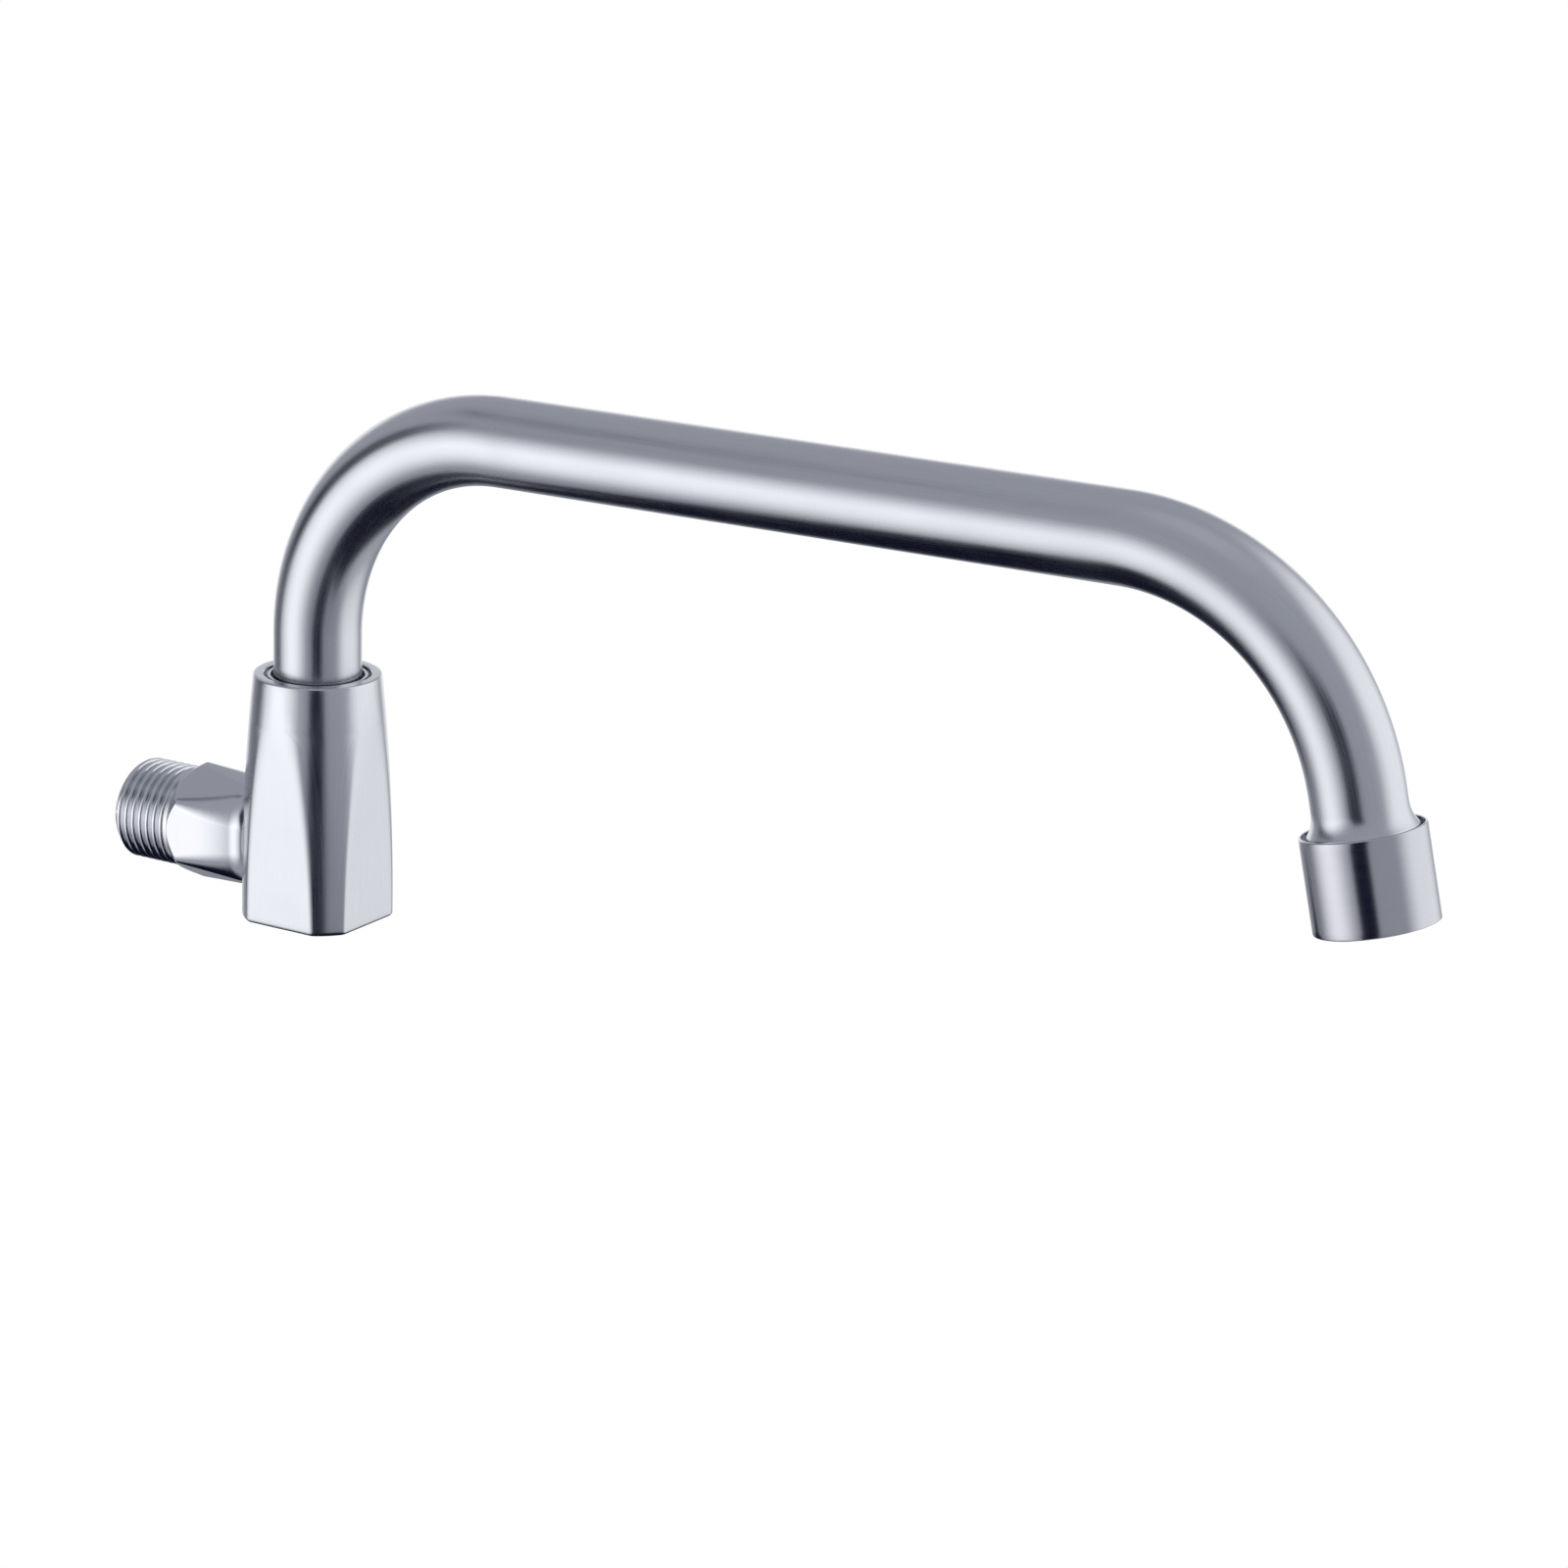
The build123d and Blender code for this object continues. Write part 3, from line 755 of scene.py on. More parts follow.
@dataclass
class Casting:
    """The body casting: threaded inlet, neck and the flared body with its four flats."""

    axis_x: float = BODY_AXIS
    foot: float = -15.25
    rim: float = 36.45
    foot_radius: float = 15.4
    belly_radius: float = 14.95
    belly_height: float = 10.7
    rim_radius: float = 13.09
    flat: float = 13.1
    flat_lean: float = 1.05
    foot_round: float = 1.0
    rim_round: float = 0.35
    foot_edge_round: float = 0.35
    rim_edge_round: float = 0.7
    mouth_radius: float = 10.94
    mouth_chamfer: float = 0.2
    mouth_floor: float = 26.7
    socket_radius: float = 8.5
    socket_floor: float = -10.0
    least_meeting: float = 4.0
    most_meeting: float = 44.0
    zone_base: float = 0.8
    zone_growth: float = 2.2
    zone_share: float = 0.8
    floor_share: float = 0.5
    rim_land: float = 0.6
    sole_shares: tuple[float, ...] = (0.9, 0.72, 0.5, 0.3, 0.12)
    bore_rows: tuple[float, ...] = (19.75, 14.0, 8.0, 0.0, -7.0)
    cutter_excess: float = 0.05
    cutter_overrun: float = 4.0
    thread: InletThread = field(default_factory=InletThread)
    neck: InletNeck = field(default_factory=InletNeck)
    flat_columns: int = 12
    edge_columns: int = 18
    round_columns: int = 10
    side_rows: int = 56
    round_rows: int = 7
    cutter_columns: int = 96
    body_sharp_angle: float = 32.0
    inlet_sharp_angle: float = 35.0

    def flare_radius(self, height: np.ndarray) -> np.ndarray:
        """Works out the flare's radius at a height.

        Formula: the circle through the foot's, the belly's and the rim's points, solved
        for its radius at that height.

        Args:
            height: Heights in millimetres.

        Returns:
            Radii in millimetres.
        """
        r = np.array([self.foot_radius, self.belly_radius, self.rim_radius])
        z = np.array([self.foot, self.belly_height, self.rim])
        system = np.stack([2 * r, 2 * z, np.ones(3)], axis=1)
        centre_x, centre_z, rest = np.linalg.solve(system, r**2 + z**2)
        radius = math.sqrt(rest + centre_x**2 + centre_z**2)
        return centre_x + np.sqrt(radius**2 - (height - centre_z) ** 2)

    def flat_distance(self, height: np.ndarray | float) -> np.ndarray | float:
        """Distance of the flats from the axis: that at the foot plus the climb times tan(lean)."""
        return self.flat + (height - self.foot) * math.tan(math.radians(self.flat_lean))

    def outside(self, height: np.ndarray, inset: np.ndarray) -> tuple[np.ndarray, np.ndarray]:
        """Works out rows of the outside, flats and flare in one.

        Formula: in an eighth of a turn the flat has the radius flat / cos(a) and the flare
        its own radius. They meet at acos(flat / flare). The columns are spread evenly over
        the flat, over a narrow zone about the meeting edge and over the flare, and a
        smooth least of the two radii rounds the edge, more softly towards the rim. Where
        the flat has run out, the meeting angle stays at a few degrees.

        Args:
            height: Heights of the rows.
            inset: How far each row is drawn in by the rounds at the rim and the foot.

        Returns:
            Angles and radii, each rows by columns.
        """
        eighth_turn = np.pi / 4
        flare = (self.flare_radius(height) - inset)[:, None]
        flat = (self.flat_distance(height) - inset)[:, None]
        least = math.radians(self.least_meeting)
        meeting = np.maximum(np.arccos(np.clip(flat / flare, -1, 1)), least)
        climb = np.clip((height - self.foot) / (self.rim - self.foot), 0, 1)[:, None]
        width = self.foot_edge_round + (self.rim_edge_round - self.foot_edge_round) * climb
        reach = (self.zone_base + self.zone_growth * width) / flare
        zone = np.minimum(reach, self.zone_share * meeting)
        edge_start = meeting - zone
        edge_end = np.minimum(meeting + zone, math.radians(self.most_meeting))

        def spread(start: np.ndarray, end: np.ndarray | float, count: int) -> np.ndarray:
            """Spreads columns evenly from a start to, but not with, an end."""
            return start + (end - start) * (np.arange(count) / count)

        flat_part = spread(np.zeros_like(flare), edge_start, self.flat_columns)
        edge_part = spread(edge_start, edge_end, self.edge_columns)
        round_part = spread(edge_end, eighth_turn, self.round_columns)
        eighth = np.concatenate([flat_part, edge_part, round_part], axis=1)
        middle = np.full_like(flare, eighth_turn)
        quarter = np.concatenate([eighth, middle, 2 * eighth_turn - eighth[:, :0:-1]], axis=1)
        side = flat / np.cos(np.minimum(quarter, 2 * eighth_turn - quarter))
        turns = np.arange(4) * 2 * eighth_turn
        angles = (quarter[:, None, :] + turns[None, :, None]).reshape(len(height), -1)
        return angles, np.tile(smooth_least(side, flare, width), (1, 4))

    def body_shell(self) -> Object:
        """Builds the flared body as one closed surface, from its socket over the rim to its foot.

        Formula: the rows climb the socket and the mouth as circles, turn over the rim's
        round, follow the flare and the flats down, and turn round the foot to its middle.

        Returns:
            The piece.
        """
        turn = np.linspace(0, np.pi / 2, self.round_rows)
        opening, closing = 1 - np.sin(turn), 1 - np.cos(turn)
        side_top, side_foot = self.rim - self.rim_round, self.foot + self.foot_round
        side_height = np.linspace(side_top, side_foot, self.side_rows + 2)[1:-1]
        rim_height = self.rim - self.rim_round * closing
        foot_height = self.foot + self.foot_round * opening
        height = np.concatenate([rim_height, side_height, foot_height])
        no_inset = np.zeros_like(side_height)
        inset = np.concatenate([self.rim_round * opening, no_inset, self.foot_round * closing])
        angles, radii = self.outside(height, inset)
        sole = np.array(self.sole_shares)[:, None]
        inner = np.array(
            [
                (self.socket_radius * self.floor_share, self.socket_floor),
                (self.socket_radius, self.socket_floor),
                (self.socket_radius, self.mouth_floor),
                (self.mouth_radius, self.mouth_floor),
                (self.mouth_radius, self.rim - self.mouth_chamfer),
                (self.mouth_radius + self.mouth_chamfer, self.rim),
                (self.rim_radius - self.rim_round - self.rim_land, self.rim),
            ]
        )
        columns = angles.shape[1]
        radii = np.concatenate([inner[:, :1].repeat(columns, axis=1), radii, radii[-1] * sole])
        angles = np.concatenate(
            [angles[:1].repeat(len(inner), axis=0), angles, angles[-1:].repeat(len(sole), axis=0)]
        )
        heights = np.concatenate([inner[:, 1], height, np.full(len(sole), self.foot)])
        heights = heights[:, None].repeat(columns, axis=1)
        x, y = self.axis_x + radii * np.cos(angles), radii * np.sin(angles)
        poles = tuple(np.array([self.axis_x, 0, z]) for z in (self.socket_floor, self.foot))
        piece = write_grid("body_casting", np.stack([x, y, heights], axis=-1), False, poles)
        self.bore_through(piece)
        return piece

    def bore_through(self, piece: Object) -> None:
        """Opens the waterway from the neck to the socket with a cutter a little over its size.

        Args:
            piece: The body's shell.
        """
        radius = self.thread.bore_radius + self.cutter_excess
        start = self.axis_x - self.flat_distance(0.0) - self.cutter_overrun
        profile = np.array([(radius, start), (radius, self.axis_x)])
        axis = TurningAxis(np.zeros(3), FORWARD, SIDEWAYS)
        wall = axis.points(profile, self.cutter_columns)
        ends = (start * FORWARD, self.axis_x * FORWARD)
        cutter = write_grid("waterway_cutter", wall, False, ends)
        cut = piece.modifiers.new("waterway", "BOOLEAN")
        cut.operation = "DIFFERENCE"
        cut.solver = "EXACT"
        cut.object = cutter
        graph = bpy.context.evaluated_depsgraph_get()
        finished = bpy.data.meshes.new_from_object(piece.evaluated_get(graph))
        finished.name = piece.name
        piece.modifiers.clear()
        piece.data = finished
        bpy.data.objects.remove(cutter)

    def side_place(self, y: np.ndarray, z: np.ndarray) -> np.ndarray:
        """The body's side at the inlet: axis_x less sqrt(flare^2 - y^2), or less the flat."""
        flare = np.sqrt(self.flare_radius(z) ** 2 - y**2)
        return self.axis_x - np.minimum(flare, self.flat_distance(z))

    def inlet(self) -> Object:
        """Builds the bored inlet: thread, land, hexagon, waist and root.

        Formula: rows run out along the outside from the end face to the root, back through
        the bore, and close on the end face.

        Returns:
            The piece.
        """
        angle = self.neck.angles()
        thread, neck = self.thread, self.neck
        thread_x = thread.rows()[:, None]
        land_x = np.array([[neck.start - thread.land], [neck.start]])
        neck_x = neck.rows()[:, None]
        root_x, root_radii = neck.root(angle, self.side_place)
        bore_x = np.array([*self.bore_rows, thread.start + thread.bore_chamfer])[:, None]
        parts = (
            (thread_x, thread.radii(thread_x, angle)),
            (land_x, thread.crest_radius),
            (neck_x, neck.radii(neck_x, angle)),
            (root_x, root_radii),
            (bore_x, thread.bore_radius),
            (np.array([[thread.start]]), thread.bore_radius + thread.bore_chamfer),
        )
        spread = [np.broadcast_arrays(x, radii, angle) for x, radii in parts]
        x, radii, angle = (np.concatenate(layers) for layers in zip(*spread))
        points = np.stack([x, -radii * np.cos(angle), radii * np.sin(angle)], axis=-1)
        return write_grid("inlet_neck", points, True)

    def build(self, satin: Material, polished: Material) -> None:
        """Builds and dresses the casting.

        Args:
            satin: Metal of the body.
            polished: Metal of the inlet.
        """
        made = (
            (self.body_shell(), satin, self.body_sharp_angle),
            (self.inlet(), polished, self.inlet_sharp_angle),
        )
        for piece, steel, sharp_angle in made:
            hand_over(piece, steel, Body.TAP, "body", sharp_angle)


@dataclass
class Mouth:
    """What closes the body's mouth around the tube: the gland ring and the guide bush."""

    axis_x: float = BODY_AXIS
    foot: float = 31.0
    top: float = 36.15
    bore_radius: float = 9.59
    radius: float = 10.89
    step_width: float = 0.6
    step_depth: float = 1.2
    lip_radius: float = 10.14
    lip_height: float = 0.6
    gap: float = 0.05
    bush_bore_radius: float = 9.04
    bush_radius: float = 9.54
    bush_top: float = 35.25
    longest_side: float = 1.0
    columns: int = 192

    def build(self, steel: Material, bush: Material) -> None:
        """Builds the gland ring and the bush.

        Args:
            steel: Metal of the gland ring.
            bush: Polymer of the bush.
        """
        axis = TurningAxis(self.axis_x * FORWARD, UPWARD, FORWARD)
        recess = self.lip_radius + self.gap
        recess_top = self.foot + self.lip_height + self.gap
        ledge = self.top - self.step_depth
        ring_profile = rounded_profile(
            [
                (recess, self.foot, 0.05),
                (self.radius, self.foot, 0.15),
                (self.radius, ledge, 0.1),
                (self.radius - self.step_width, ledge, 0.05),
                (self.radius - self.step_width, self.top, 0.15),
                (self.bore_radius, self.top, 0.12),
                (self.bore_radius, recess_top, 0.05),
                (recess, recess_top, 0.05),
            ]
        )
        bush_profile = rounded_profile(
            [
                (self.bush_bore_radius, self.foot, 0.08),
                (self.lip_radius, self.foot, 0.08),
                (self.lip_radius, self.foot + self.lip_height, 0.08),
                (self.bush_radius, self.foot + self.lip_height, 0.05),
                (self.bush_radius, self.bush_top, 0.1),
                (self.bush_bore_radius, self.bush_top, 0.1),
            ]
        )
        ring = axis.turned("gland_ring_turned", ring_profile, self.longest_side, self.columns)
        hand_over(ring, steel, Body.TAP, "gland_ring")
        sleeve = axis.turned("guide_bush_moulded", bush_profile, self.longest_side, self.columns)
        hand_over(sleeve, bush, Body.TAP, "guide_bush")


@dataclass
class SpoutTube:
    """The bent tube: riser, bend, arm, bend and a short drop."""

    axis_x: float = BODY_AXIS
    foot: float = 30.1
    riser_top: float = 45.05
    riser_bend: float = 45.8
    arm_slope: float = 0.9
    arm_length: float = 139.4
    outlet_bend: float = 50.6
    outlet_lean: float = 12.7
    outlet_straight: float = 7.2
    joint_rise: float = JOINT_RISE
    radius: float = TUBE_RADIUS
    wall: float = 1.0
    riser_steps: int = 4
    riser_bend_steps: int = 64
    arm_steps: int = 40
    outlet_bend_steps: int = 72
    drop_steps: int = 3
    columns: int = 192

    def centre_line(self) -> tuple[np.ndarray, np.ndarray]:
        """Works out the tube's centre line and its heading.

        Formula: the heading stays constant along a straight and turns evenly along a bend,
        where the place is the bend's centre plus its radius across the heading. Places are
        complex numbers here, so that the heading h is exp(i h) and its normal i exp(i h).

        Returns:
            Places (x, z), n by 2, and headings in radians above the horizontal, n.
        """
        place, heading = complex(self.axis_x, self.foot), math.pi / 2
        places, headings = [[place]], [[heading]]
        runs = (
            (self.riser_top - self.foot, self.riser_steps, None),
            (self.riser_bend, self.riser_bend_steps, math.radians(self.arm_slope)),
            (self.arm_length, self.arm_steps, None),
            (self.outlet_bend, self.outlet_bend_steps, math.radians(self.outlet_lean - 90)),
            (self.outlet_straight - self.joint_rise, self.drop_steps, None),
        )
        for size, steps, target in runs:
            share = np.arange(1, steps + 1) / steps
            ahead = np.exp(1j * heading)
            if target is None:
                turned = np.full(steps, heading)
                walked = place + size * share * ahead
            else:
                turned = heading + (target - heading) * share
                walked = place + size * 1j * (np.exp(1j * turned) - ahead)
                heading = target
            place = walked[-1]
            places.append(walked)
            headings.append(turned)
        line = np.concatenate(places)
        return np.stack([line.real, line.imag], axis=1), np.concatenate(headings)

    def collar_axis(self) -> TurningAxis:
        """Works out the outlet's axis.

        Returns:
            The axis, which starts at the collar's upper rim and points down the outlet.
        """
        places, _ = self.centre_line()
        lean = math.radians(self.outlet_lean)
        down = math.sin(lean) * FORWARD - math.cos(lean) * UPWARD
        across = math.cos(lean) * FORWARD + math.sin(lean) * UPWARD
        end = places[-1, 0] * FORWARD + places[-1, 1] * UPWARD
        return TurningAxis(end + down * self.joint_rise, down, across)

    def build(self, steel: Material) -> None:
        """Carries the tube's wall along its centre line.

        Formula: centre + radius * (cos a * up + sin a * side), where up is across the
        heading in the spout's plane. The rows go out along the outer wall and back along
        the bore.

        Args:
            steel: Metal of the tube.
        """
        places, headings = self.centre_line()
        angle = (np.arange(self.columns) * 2 * np.pi / self.columns)[None, :, None]
        centre = places[:, :1] * FORWARD + places[:, 1:] * UPWARD
        up = np.cos(headings)[:, None] * UPWARD - np.sin(headings)[:, None] * FORWARD
        spoke = np.cos(angle) * up[:, None] + np.sin(angle) * SIDEWAYS
        outer = centre[:, None] + self.radius * spoke
        inner = centre[:, None] + (self.radius - self.wall) * spoke
        piece = write_grid("spout_tube_bent", np.concatenate([outer, inner[::-1]]), True)
        hand_over(piece, steel, Body.SPOUT, "spout_tube")


@dataclass
class Outlet:
    """The nozzle at the tube's end and the polished housing of the aerator around it."""

    axis: TurningAxis
    tube_radius: float = TUBE_RADIUS
    sleeve_radius: float = 7.95
    sleeve_top: float = -7.15
    joint: float = -JOINT_RISE
    flare_start: float = -4.0
    flare_end: float = 0.2
    flare_radius: float = 10.5
    flare_rows: int = 15
    thread_start: float = 1.8
    thread_radius: float = 11.0
    reach: float = 6.4
    cup_radius: float = 9.2
    cup_start: float = 1.5
    waterway_radius: float = 7.0
    collar_rim_bore: float = 11.4
    collar_radius: float = 11.9
    collar_rim_depth: float = 1.6
    collar_thread_radius: float = 11.05
    collar_shoulder: float = 9.4
    collar_bore_radius: float = 10.4
    lip_top: float = 16.65
    lip_radius: float = 9.5
    collar_length: float = 18.2
    collar_edge_round: float = 0.25
    longest_side: float = 1.2
    nozzle_columns: int = 192
    collar_columns: int = 256

    def flare(self) -> np.ndarray:
        """Works out the trumpet flare of the nozzle.

        Formula: the arc that leaves the tube's wall along the axis and ends at the flare's
        edge has the radius (run^2 + growth^2) / (2 growth).

        Returns:
            Radii and depths, n by 2.
        """
        growth = self.flare_radius - self.tube_radius
        run = self.flare_end - self.flare_start
        radius = (run**2 + growth**2) / (2 * growth)
        angle = np.linspace(0, math.asin(run / radius), self.flare_rows)
        across, down = radius * (1 - np.cos(angle)), radius * np.sin(angle)
        return np.stack([self.tube_radius + across, self.flare_start + down], axis=1)

    def nozzle(self) -> Object:
        """Turns the nozzle: sleeve inside the tube, flare, thread and the cup for the washer.

        Returns:
            The piece.
        """
        cup_foot = self.cup_start + self.waterway_radius - self.cup_radius
        below = rounded_profile(
            [
                (self.flare_radius, self.flare_end, 0),
                (self.flare_radius, self.thread_start, 0.03),
                (self.thread_radius, self.thread_start, 0.03),
                (self.thread_radius, self.reach, 0.1),
                (self.cup_radius, self.reach, 0.1),
                (self.cup_radius, self.cup_start, 0.1),
                (self.waterway_radius, cup_foot, 0.1),
                (self.waterway_radius, self.sleeve_top, 0.1),
                (self.sleeve_radius, self.sleeve_top, 0.1),
                (self.sleeve_radius, self.joint, 0),
                (self.tube_radius, self.joint, 0),
                (self.tube_radius, self.flare_start, 0),
            ]
        )
        profile = np.concatenate([below, self.flare()[1:-1]])
        name = "outlet_nozzle_turned"
        return self.axis.turned(name, profile, self.longest_side, self.nozzle_columns)

    def collar(self) -> Object:
        """Turns the aerator's housing: thin rim, screwed band, seat and lip.

        Returns:
            The piece.
        """
        profile = rounded_profile(
            [
                (self.collar_rim_bore, 0, 0.15),
                (self.collar_radius, 0, self.collar_edge_round),
                (self.collar_radius, self.collar_length, self.collar_edge_round),
                (self.lip_radius, self.collar_length, 0.25),
                (self.lip_radius, self.lip_top, 0.1),
                (self.collar_bore_radius, self.lip_top, 0.1),
                (self.collar_bore_radius, self.collar_shoulder, 0.1),
                (self.collar_thread_radius, self.collar_shoulder, 0.1),
                (self.collar_thread_radius, self.collar_rim_depth, 0.05),
                (self.collar_rim_bore, self.collar_rim_depth, 0.05),
            ]
        )
        name = "aerator_collar_polished"
        return self.axis.turned(name, profile, self.longest_side, self.collar_columns)

    def build(self, satin: Material, polished: Material) -> None:
        """Builds and dresses the nozzle and the collar.

        Args:
            satin: Metal of the nozzle.
            polished: Metal of the collar.
        """
        nozzle, collar = self.nozzle(), self.collar()
        hand_over(nozzle, satin, Body.SPOUT, "outlet_nozzle")
        hand_over(collar, polished, Body.SPOUT, "aerator_housing")


# Studio


@dataclass(frozen=True)
class Softbox:
    """A large soft lamp whose brightness falls off evenly towards its edges."""

    name: str
    place: Place
    width: float
    height: float
    level: float
    soft_border: float
    colour: str
    target: Place = (0.14, 0.0, 0.06)

    def build(self) -> None:
        """Hangs the lamp.

        Formula: the brightness is the level times a mask with a soft border. A lamp's power
        is its radiance times pi times its area.
        """
        lamp = bpy.data.lights.new(self.name, "AREA")
        lamp.shape = "RECTANGLE"
        lamp.size = self.width
        lamp.size_y = self.height
        lamp.energy = self.level * math.pi * self.width * self.height
        tree = empty_tree(lamp)
        spot = add_node(tree, "ShaderNodeNewGeometry").outputs["Parametric"]
        mask = soft_mask(tree, spot, self.soft_border)
        lit = {"Color": linear_colour(self.colour), "Strength": mask}
        glow = add_node(tree, "ShaderNodeEmission", lit)
        add_node(tree, "ShaderNodeOutputLight", {"Surface": glow.outputs["Emission"]})
        heading = Vector(self.target) - Vector(self.place)
        turn = heading.to_track_quat("-Z", "Y").to_matrix().to_4x4()
        hung = link_new(self.name, lamp)
        hung.matrix_world = Matrix.Translation(self.place) @ turn
        hung.visible_camera = False


@dataclass(frozen=True)
class BlackCard:
    """A black card with soft edges, which only the metal's reflections see."""

    name: str
    place: Place
    target: Place
    width: float
    height: float
    soft_border: float
    lean: float = 0.0
    colour: str = "#0e1024"
    steepest: float = 0.9

    def build(self) -> None:
        """Stands the card up, leaning sideways by its lean in degrees.

        Formula: the card is opaque but for its border, where it fades out by a smooth step
        across and down.
        """
        half = np.array([[-1, -1], [1, -1], [1, 1], [-1, 1]], dtype=float)
        heading = np.array(self.target) - np.array(self.place)
        heading /= np.linalg.norm(heading)
        level = np.cross(heading, UPWARD if abs(heading[2]) < self.steepest else SIDEWAYS)
        level /= np.linalg.norm(level)
        rise = np.cross(level, heading)
        lean = math.radians(self.lean)
        right = level * math.cos(lean) + rise * math.sin(lean)
        up = rise * math.cos(lean) - level * math.sin(lean)
        offsets = half[:, :1] * self.width / 2 * right + half[:, 1:] * self.height / 2 * up
        mesh = bpy.data.meshes.new(self.name)
        mesh.from_pydata((np.array(self.place) + offsets).tolist(), [], [(0, 1, 2, 3)])
        layer = mesh.uv_layers.new(name="card")
        layer.data.foreach_set("uv", (half.ravel() + 1) / 2)
        material = bpy.data.materials.new("black_card_" + self.name)
        mesh.materials.append(material)
        tree = empty_tree(material)
        uv = add_node(tree, "ShaderNodeUVMap", uv_map="card").outputs["UV"]
        mask = soft_mask(tree, uv, self.soft_border)
        clear = add_node(tree, "ShaderNodeBsdfTransparent").outputs["BSDF"]
        tone = {"Color": linear_colour(self.colour), "Strength": 1.0}
        dark = add_node(tree, "ShaderNodeEmission", tone).outputs["Emission"]
        faded = add_node(tree, "ShaderNodeMixShader", {0: mask, 1: clear, 2: dark})
        add_node(tree, "ShaderNodeOutputMaterial", {"Surface": faded.outputs["Shader"]})
        card = link_new(self.name, mesh)
        card.visible_camera = False
        card.visible_diffuse = False
        card.visible_shadow = False


SOFTBOXES = (
    Softbox(
        name="left_softbox", place=(-0.69, -1.03, -0.23), width=2.75, height=2.55,
        level=1.2, soft_border=1.0, colour="#fffdfa",
    ),
    Softbox(
        name="right_softbox", place=(1.08, 0.83, 0.16), width=3.1, height=4.9,
        level=0.78, soft_border=0.8, colour="#fffef8",
    ),
    Softbox(
        name="rear_softbox", place=(-1.15, 1.77, -0.06), width=3.26, height=1.75,
        level=0.72, soft_border=0.45, colour="#fffdf8",
    ),
    Softbox(
        name="overhead_softbox", place=(0.15, -0.15, 1.7), width=1.6, height=1.6,
        level=0.12, soft_border=0.9, colour="#fbfbff",
    ),
)
BLACK_CARDS = (
    BlackCard(
        name="front_strip", place=(0.455, -0.603, -0.09), target=(0.14, 0.0, 0.04),
        width=0.43, height=1.0, soft_border=0.4, colour="#15172c",
    ),
    BlackCard(
        name="side_strip", place=(-1.0, -0.4, 0.3), target=(0.14, -0.4, 0.3),
        width=0.7, height=2.2, soft_border=0.8, lean=-38.0, colour="#32343f",
    ),
    BlackCard(
        name="upper_strip", place=(-0.9, -0.3, 1.36), target=(0.14, -0.1, 0.1),
        width=1.3, height=0.42, soft_border=0.9, colour="#777982",
    ),
    BlackCard(
        name="lower_sheet", place=(0.047, 0.007, -0.175), target=(0.047, 0.007, 0.0),
        width=0.63, height=0.3, soft_border=0.25, lean=49.5,
    ),
)


def show_as_white(tree: NodeTree, lit: NodeSocket, white_kind: str, output_kind: str) -> None:
    """Ends a tree in a mix that the camera sees as plain white and all other rays as lit.

    Args:
        tree: Nodes of a material or a world.
        lit: What the other rays see.
        white_kind: Type name of the node that gives the white.
        output_kind: Type name of the output node.
    """
    rays = add_node(tree, "ShaderNodeLightPath").outputs["Is Camera Ray"]
    white = add_node(tree, white_kind, {"Color": WHITE, "Strength": 1.0}).outputs[0]
    shown = add_node(tree, "ShaderNodeMixShader", {0: rays, 1: lit, 2: white})
    add_node(tree, output_kind, {"Surface": shown.outputs["Shader"]})


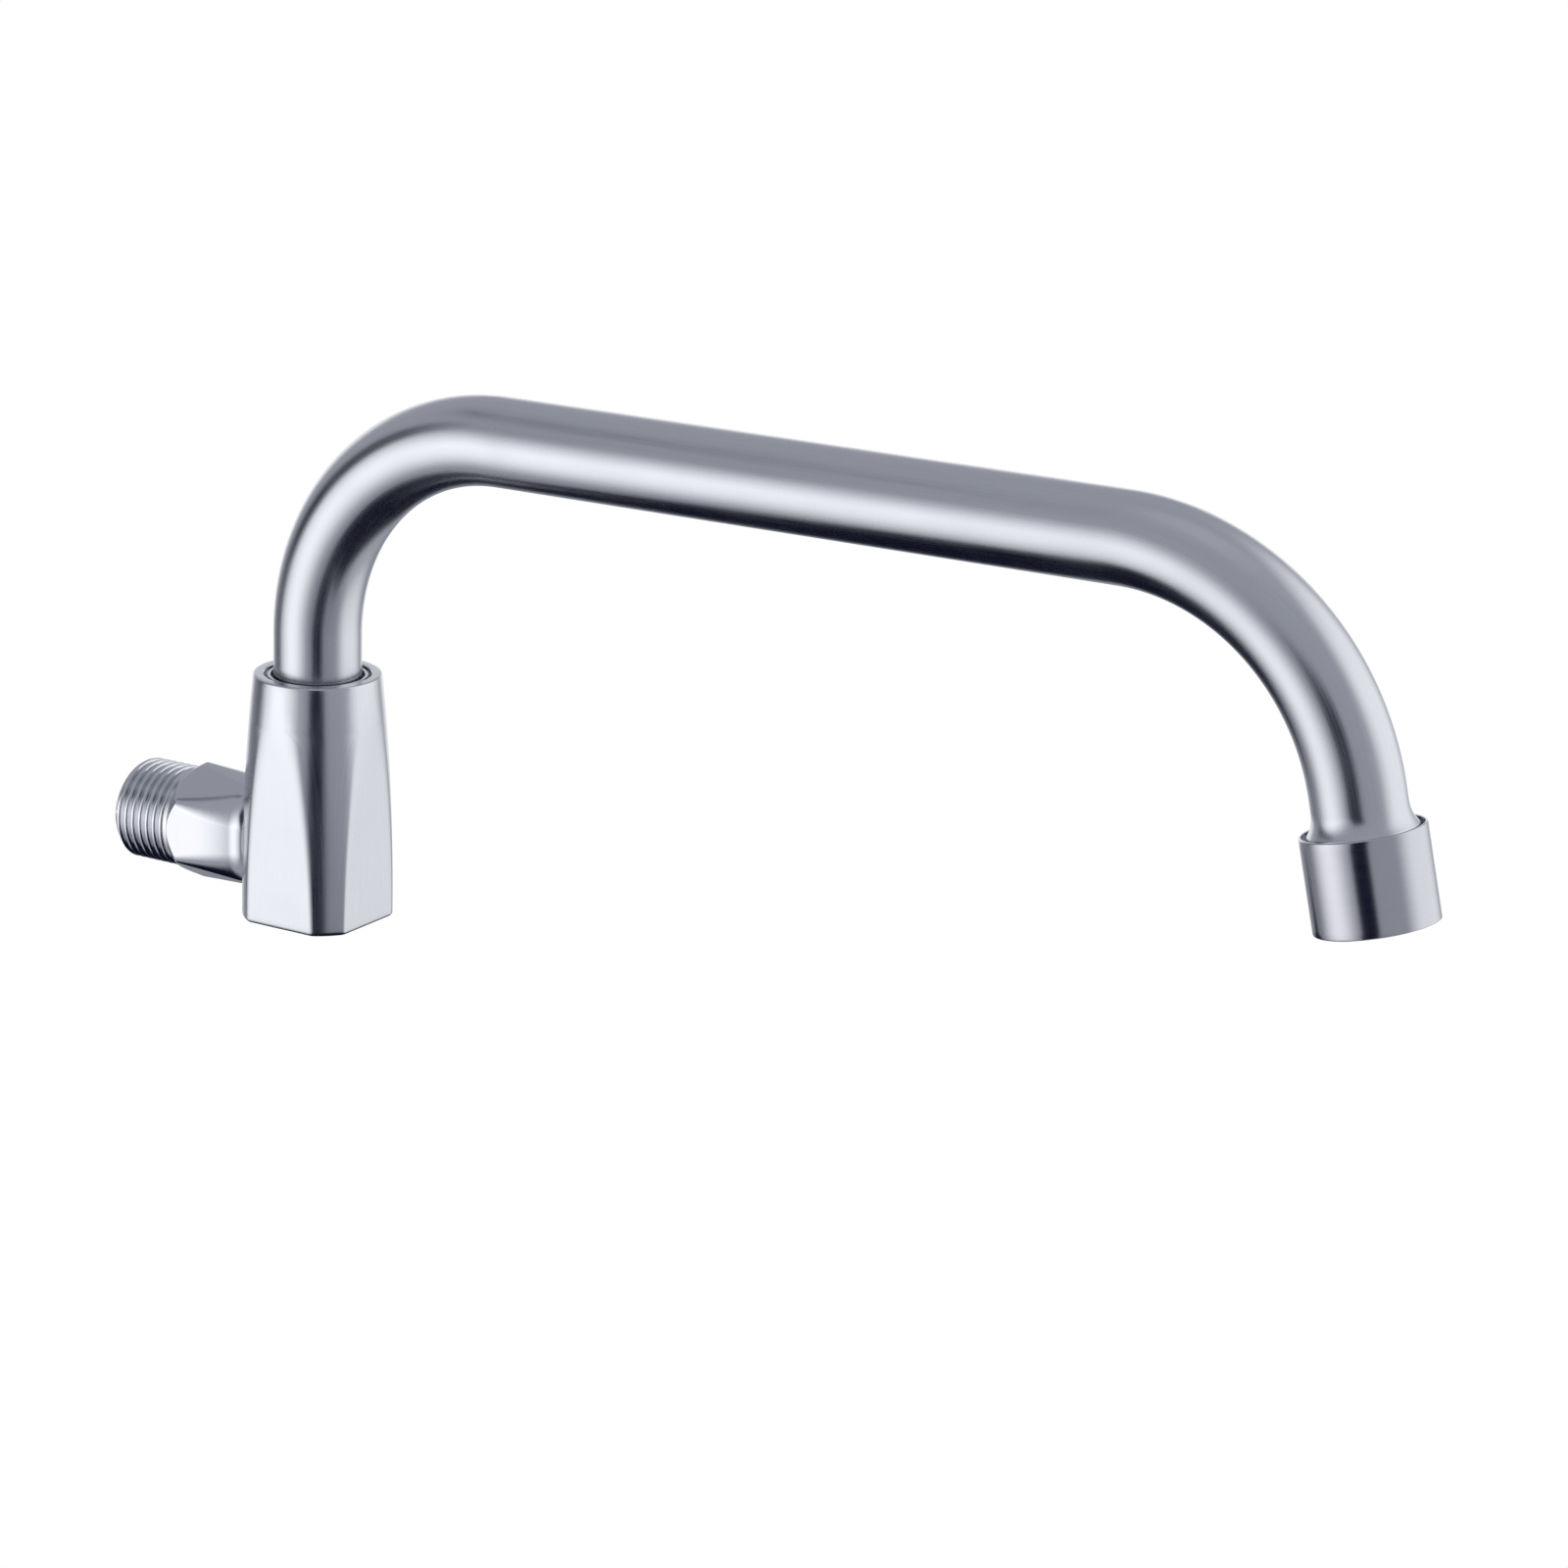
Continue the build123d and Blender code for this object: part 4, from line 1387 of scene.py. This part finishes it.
@dataclass
class Studio:
    """Camera, floor, room light, lamps and cards."""

    camera_place: Place = (0.69875, -0.8923, 0.3429)
    azimuth: float = 31.89
    elevation: float = 16.44
    roll: float = 1.48
    focal_length: float = 130.14
    sensor_width: float = 36.0
    seen_distances: Range = (0.01, 50.0)
    floor_height: float = -1.35
    floor_reach: float = 6.0
    floor_colour: str = "#dcdde0"
    room_colour: str = "#aeb0b8"

    def camera(self) -> None:
        """Sets the camera up at the photograph's angle.

        Formula: the camera's back is (sin a cos e, -cos a cos e, sin e), its level right is
        (cos a, sin a, 0), and both right and up are turned by the roll.
        """
        a, e, roll = (math.radians(v) for v in (self.azimuth, self.elevation, self.roll))
        back = Vector((math.sin(a) * math.cos(e), -math.cos(a) * math.cos(e), math.sin(e)))
        level = Vector((math.cos(a), math.sin(a), 0))
        rise = back.cross(level)
        right = level * math.cos(roll) + rise * math.sin(roll)
        up = rise * math.cos(roll) - level * math.sin(roll)
        lens = bpy.data.cameras.new("studio_camera")
        lens.lens = self.focal_length
        lens.sensor_width = self.sensor_width
        lens.clip_start, lens.clip_end = self.seen_distances
        viewer = link_new("studio_camera", lens)
        turn = Matrix((right, up, back)).transposed().to_4x4()
        viewer.matrix_world = Matrix.Translation(self.camera_place) @ turn
        bpy.context.scene.camera = viewer

    def floor(self) -> None:
        """Lays the pale floor, which the camera sees as plain white paper."""
        low, high, z = -self.floor_reach, self.floor_reach, self.floor_height
        corners = [(low, low, z), (low, high, z), (high, low, z), (high, high, z)]
        mesh = bpy.data.meshes.new("studio_floor")
        mesh.from_pydata(corners, [], [(0, 2, 3, 1)])
        material = bpy.data.materials.new("matt_white_paper")
        mesh.materials.append(material)
        tree = empty_tree(material)
        pale = {"Color": linear_colour(self.floor_colour)}
        paper = add_node(tree, "ShaderNodeBsdfDiffuse", pale).outputs["BSDF"]
        show_as_white(tree, paper, "ShaderNodeEmission", "ShaderNodeOutputMaterial")
        floor = link_new("studio_floor", mesh)

    def world(self) -> None:
        """Fills the room with an even grey light that the camera sees as white."""
        world = bpy.data.worlds.new("pale_room")
        tree = empty_tree(world)
        grey = {"Color": linear_colour(self.room_colour), "Strength": 1.0}
        room = add_node(tree, "ShaderNodeBackground", grey).outputs["Background"]
        show_as_white(tree, room, "ShaderNodeBackground", "ShaderNodeOutputWorld")
        bpy.context.scene.world = world

    def build(self) -> None:
        """Sets up everything around the object."""
        self.camera()
        self.floor()
        self.world()
        for lamp_or_card in SOFTBOXES + BLACK_CARDS:
            lamp_or_card.build()
        bpy.context.scene.view_settings.view_transform = "Standard"


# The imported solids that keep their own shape, by finish

DRESSING = {
    TURNED_STAINLESS: ("spout_tail",),
    WHITE_RINGS: (
        "upper_slip_washer", "lower_slip_washer", "guide_ring", "aerator_screen",
        "aerator_jet_plate", "aerator_upper_grid", "aerator_lower_grid",
    ),
    SEAL_RUBBER: ("lower_o_ring", "upper_o_ring", "aerator_washer"),
    GREY_INSERT: ("aerator_cage", "aerator_honeycomb"),
}


def main() -> None:
    """Builds the tap's pieces and the studio, in order."""
    logging.basicConfig(level=logging.INFO, format="%(name)s: %(message)s")
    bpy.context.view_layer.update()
    tube_steel = SATIN_TUBE.make()
    collar_steel = POLISHED_COLLAR.make()
    Casting().build(SATIN_CASTING.make(), POLISHED_INLET.make())
    Mouth().build(collar_steel, BLACK_BUSH.make())
    tube = SpoutTube()
    tube.build(tube_steel)
    Outlet(tube.collar_axis()).build(tube_steel, collar_steel)
    for finish, nodes in DRESSING.items():
        material = finish.make()
        for node in nodes:
            dress_node(node, material)
    Studio().build()


if __name__ == "__main__":
    main()
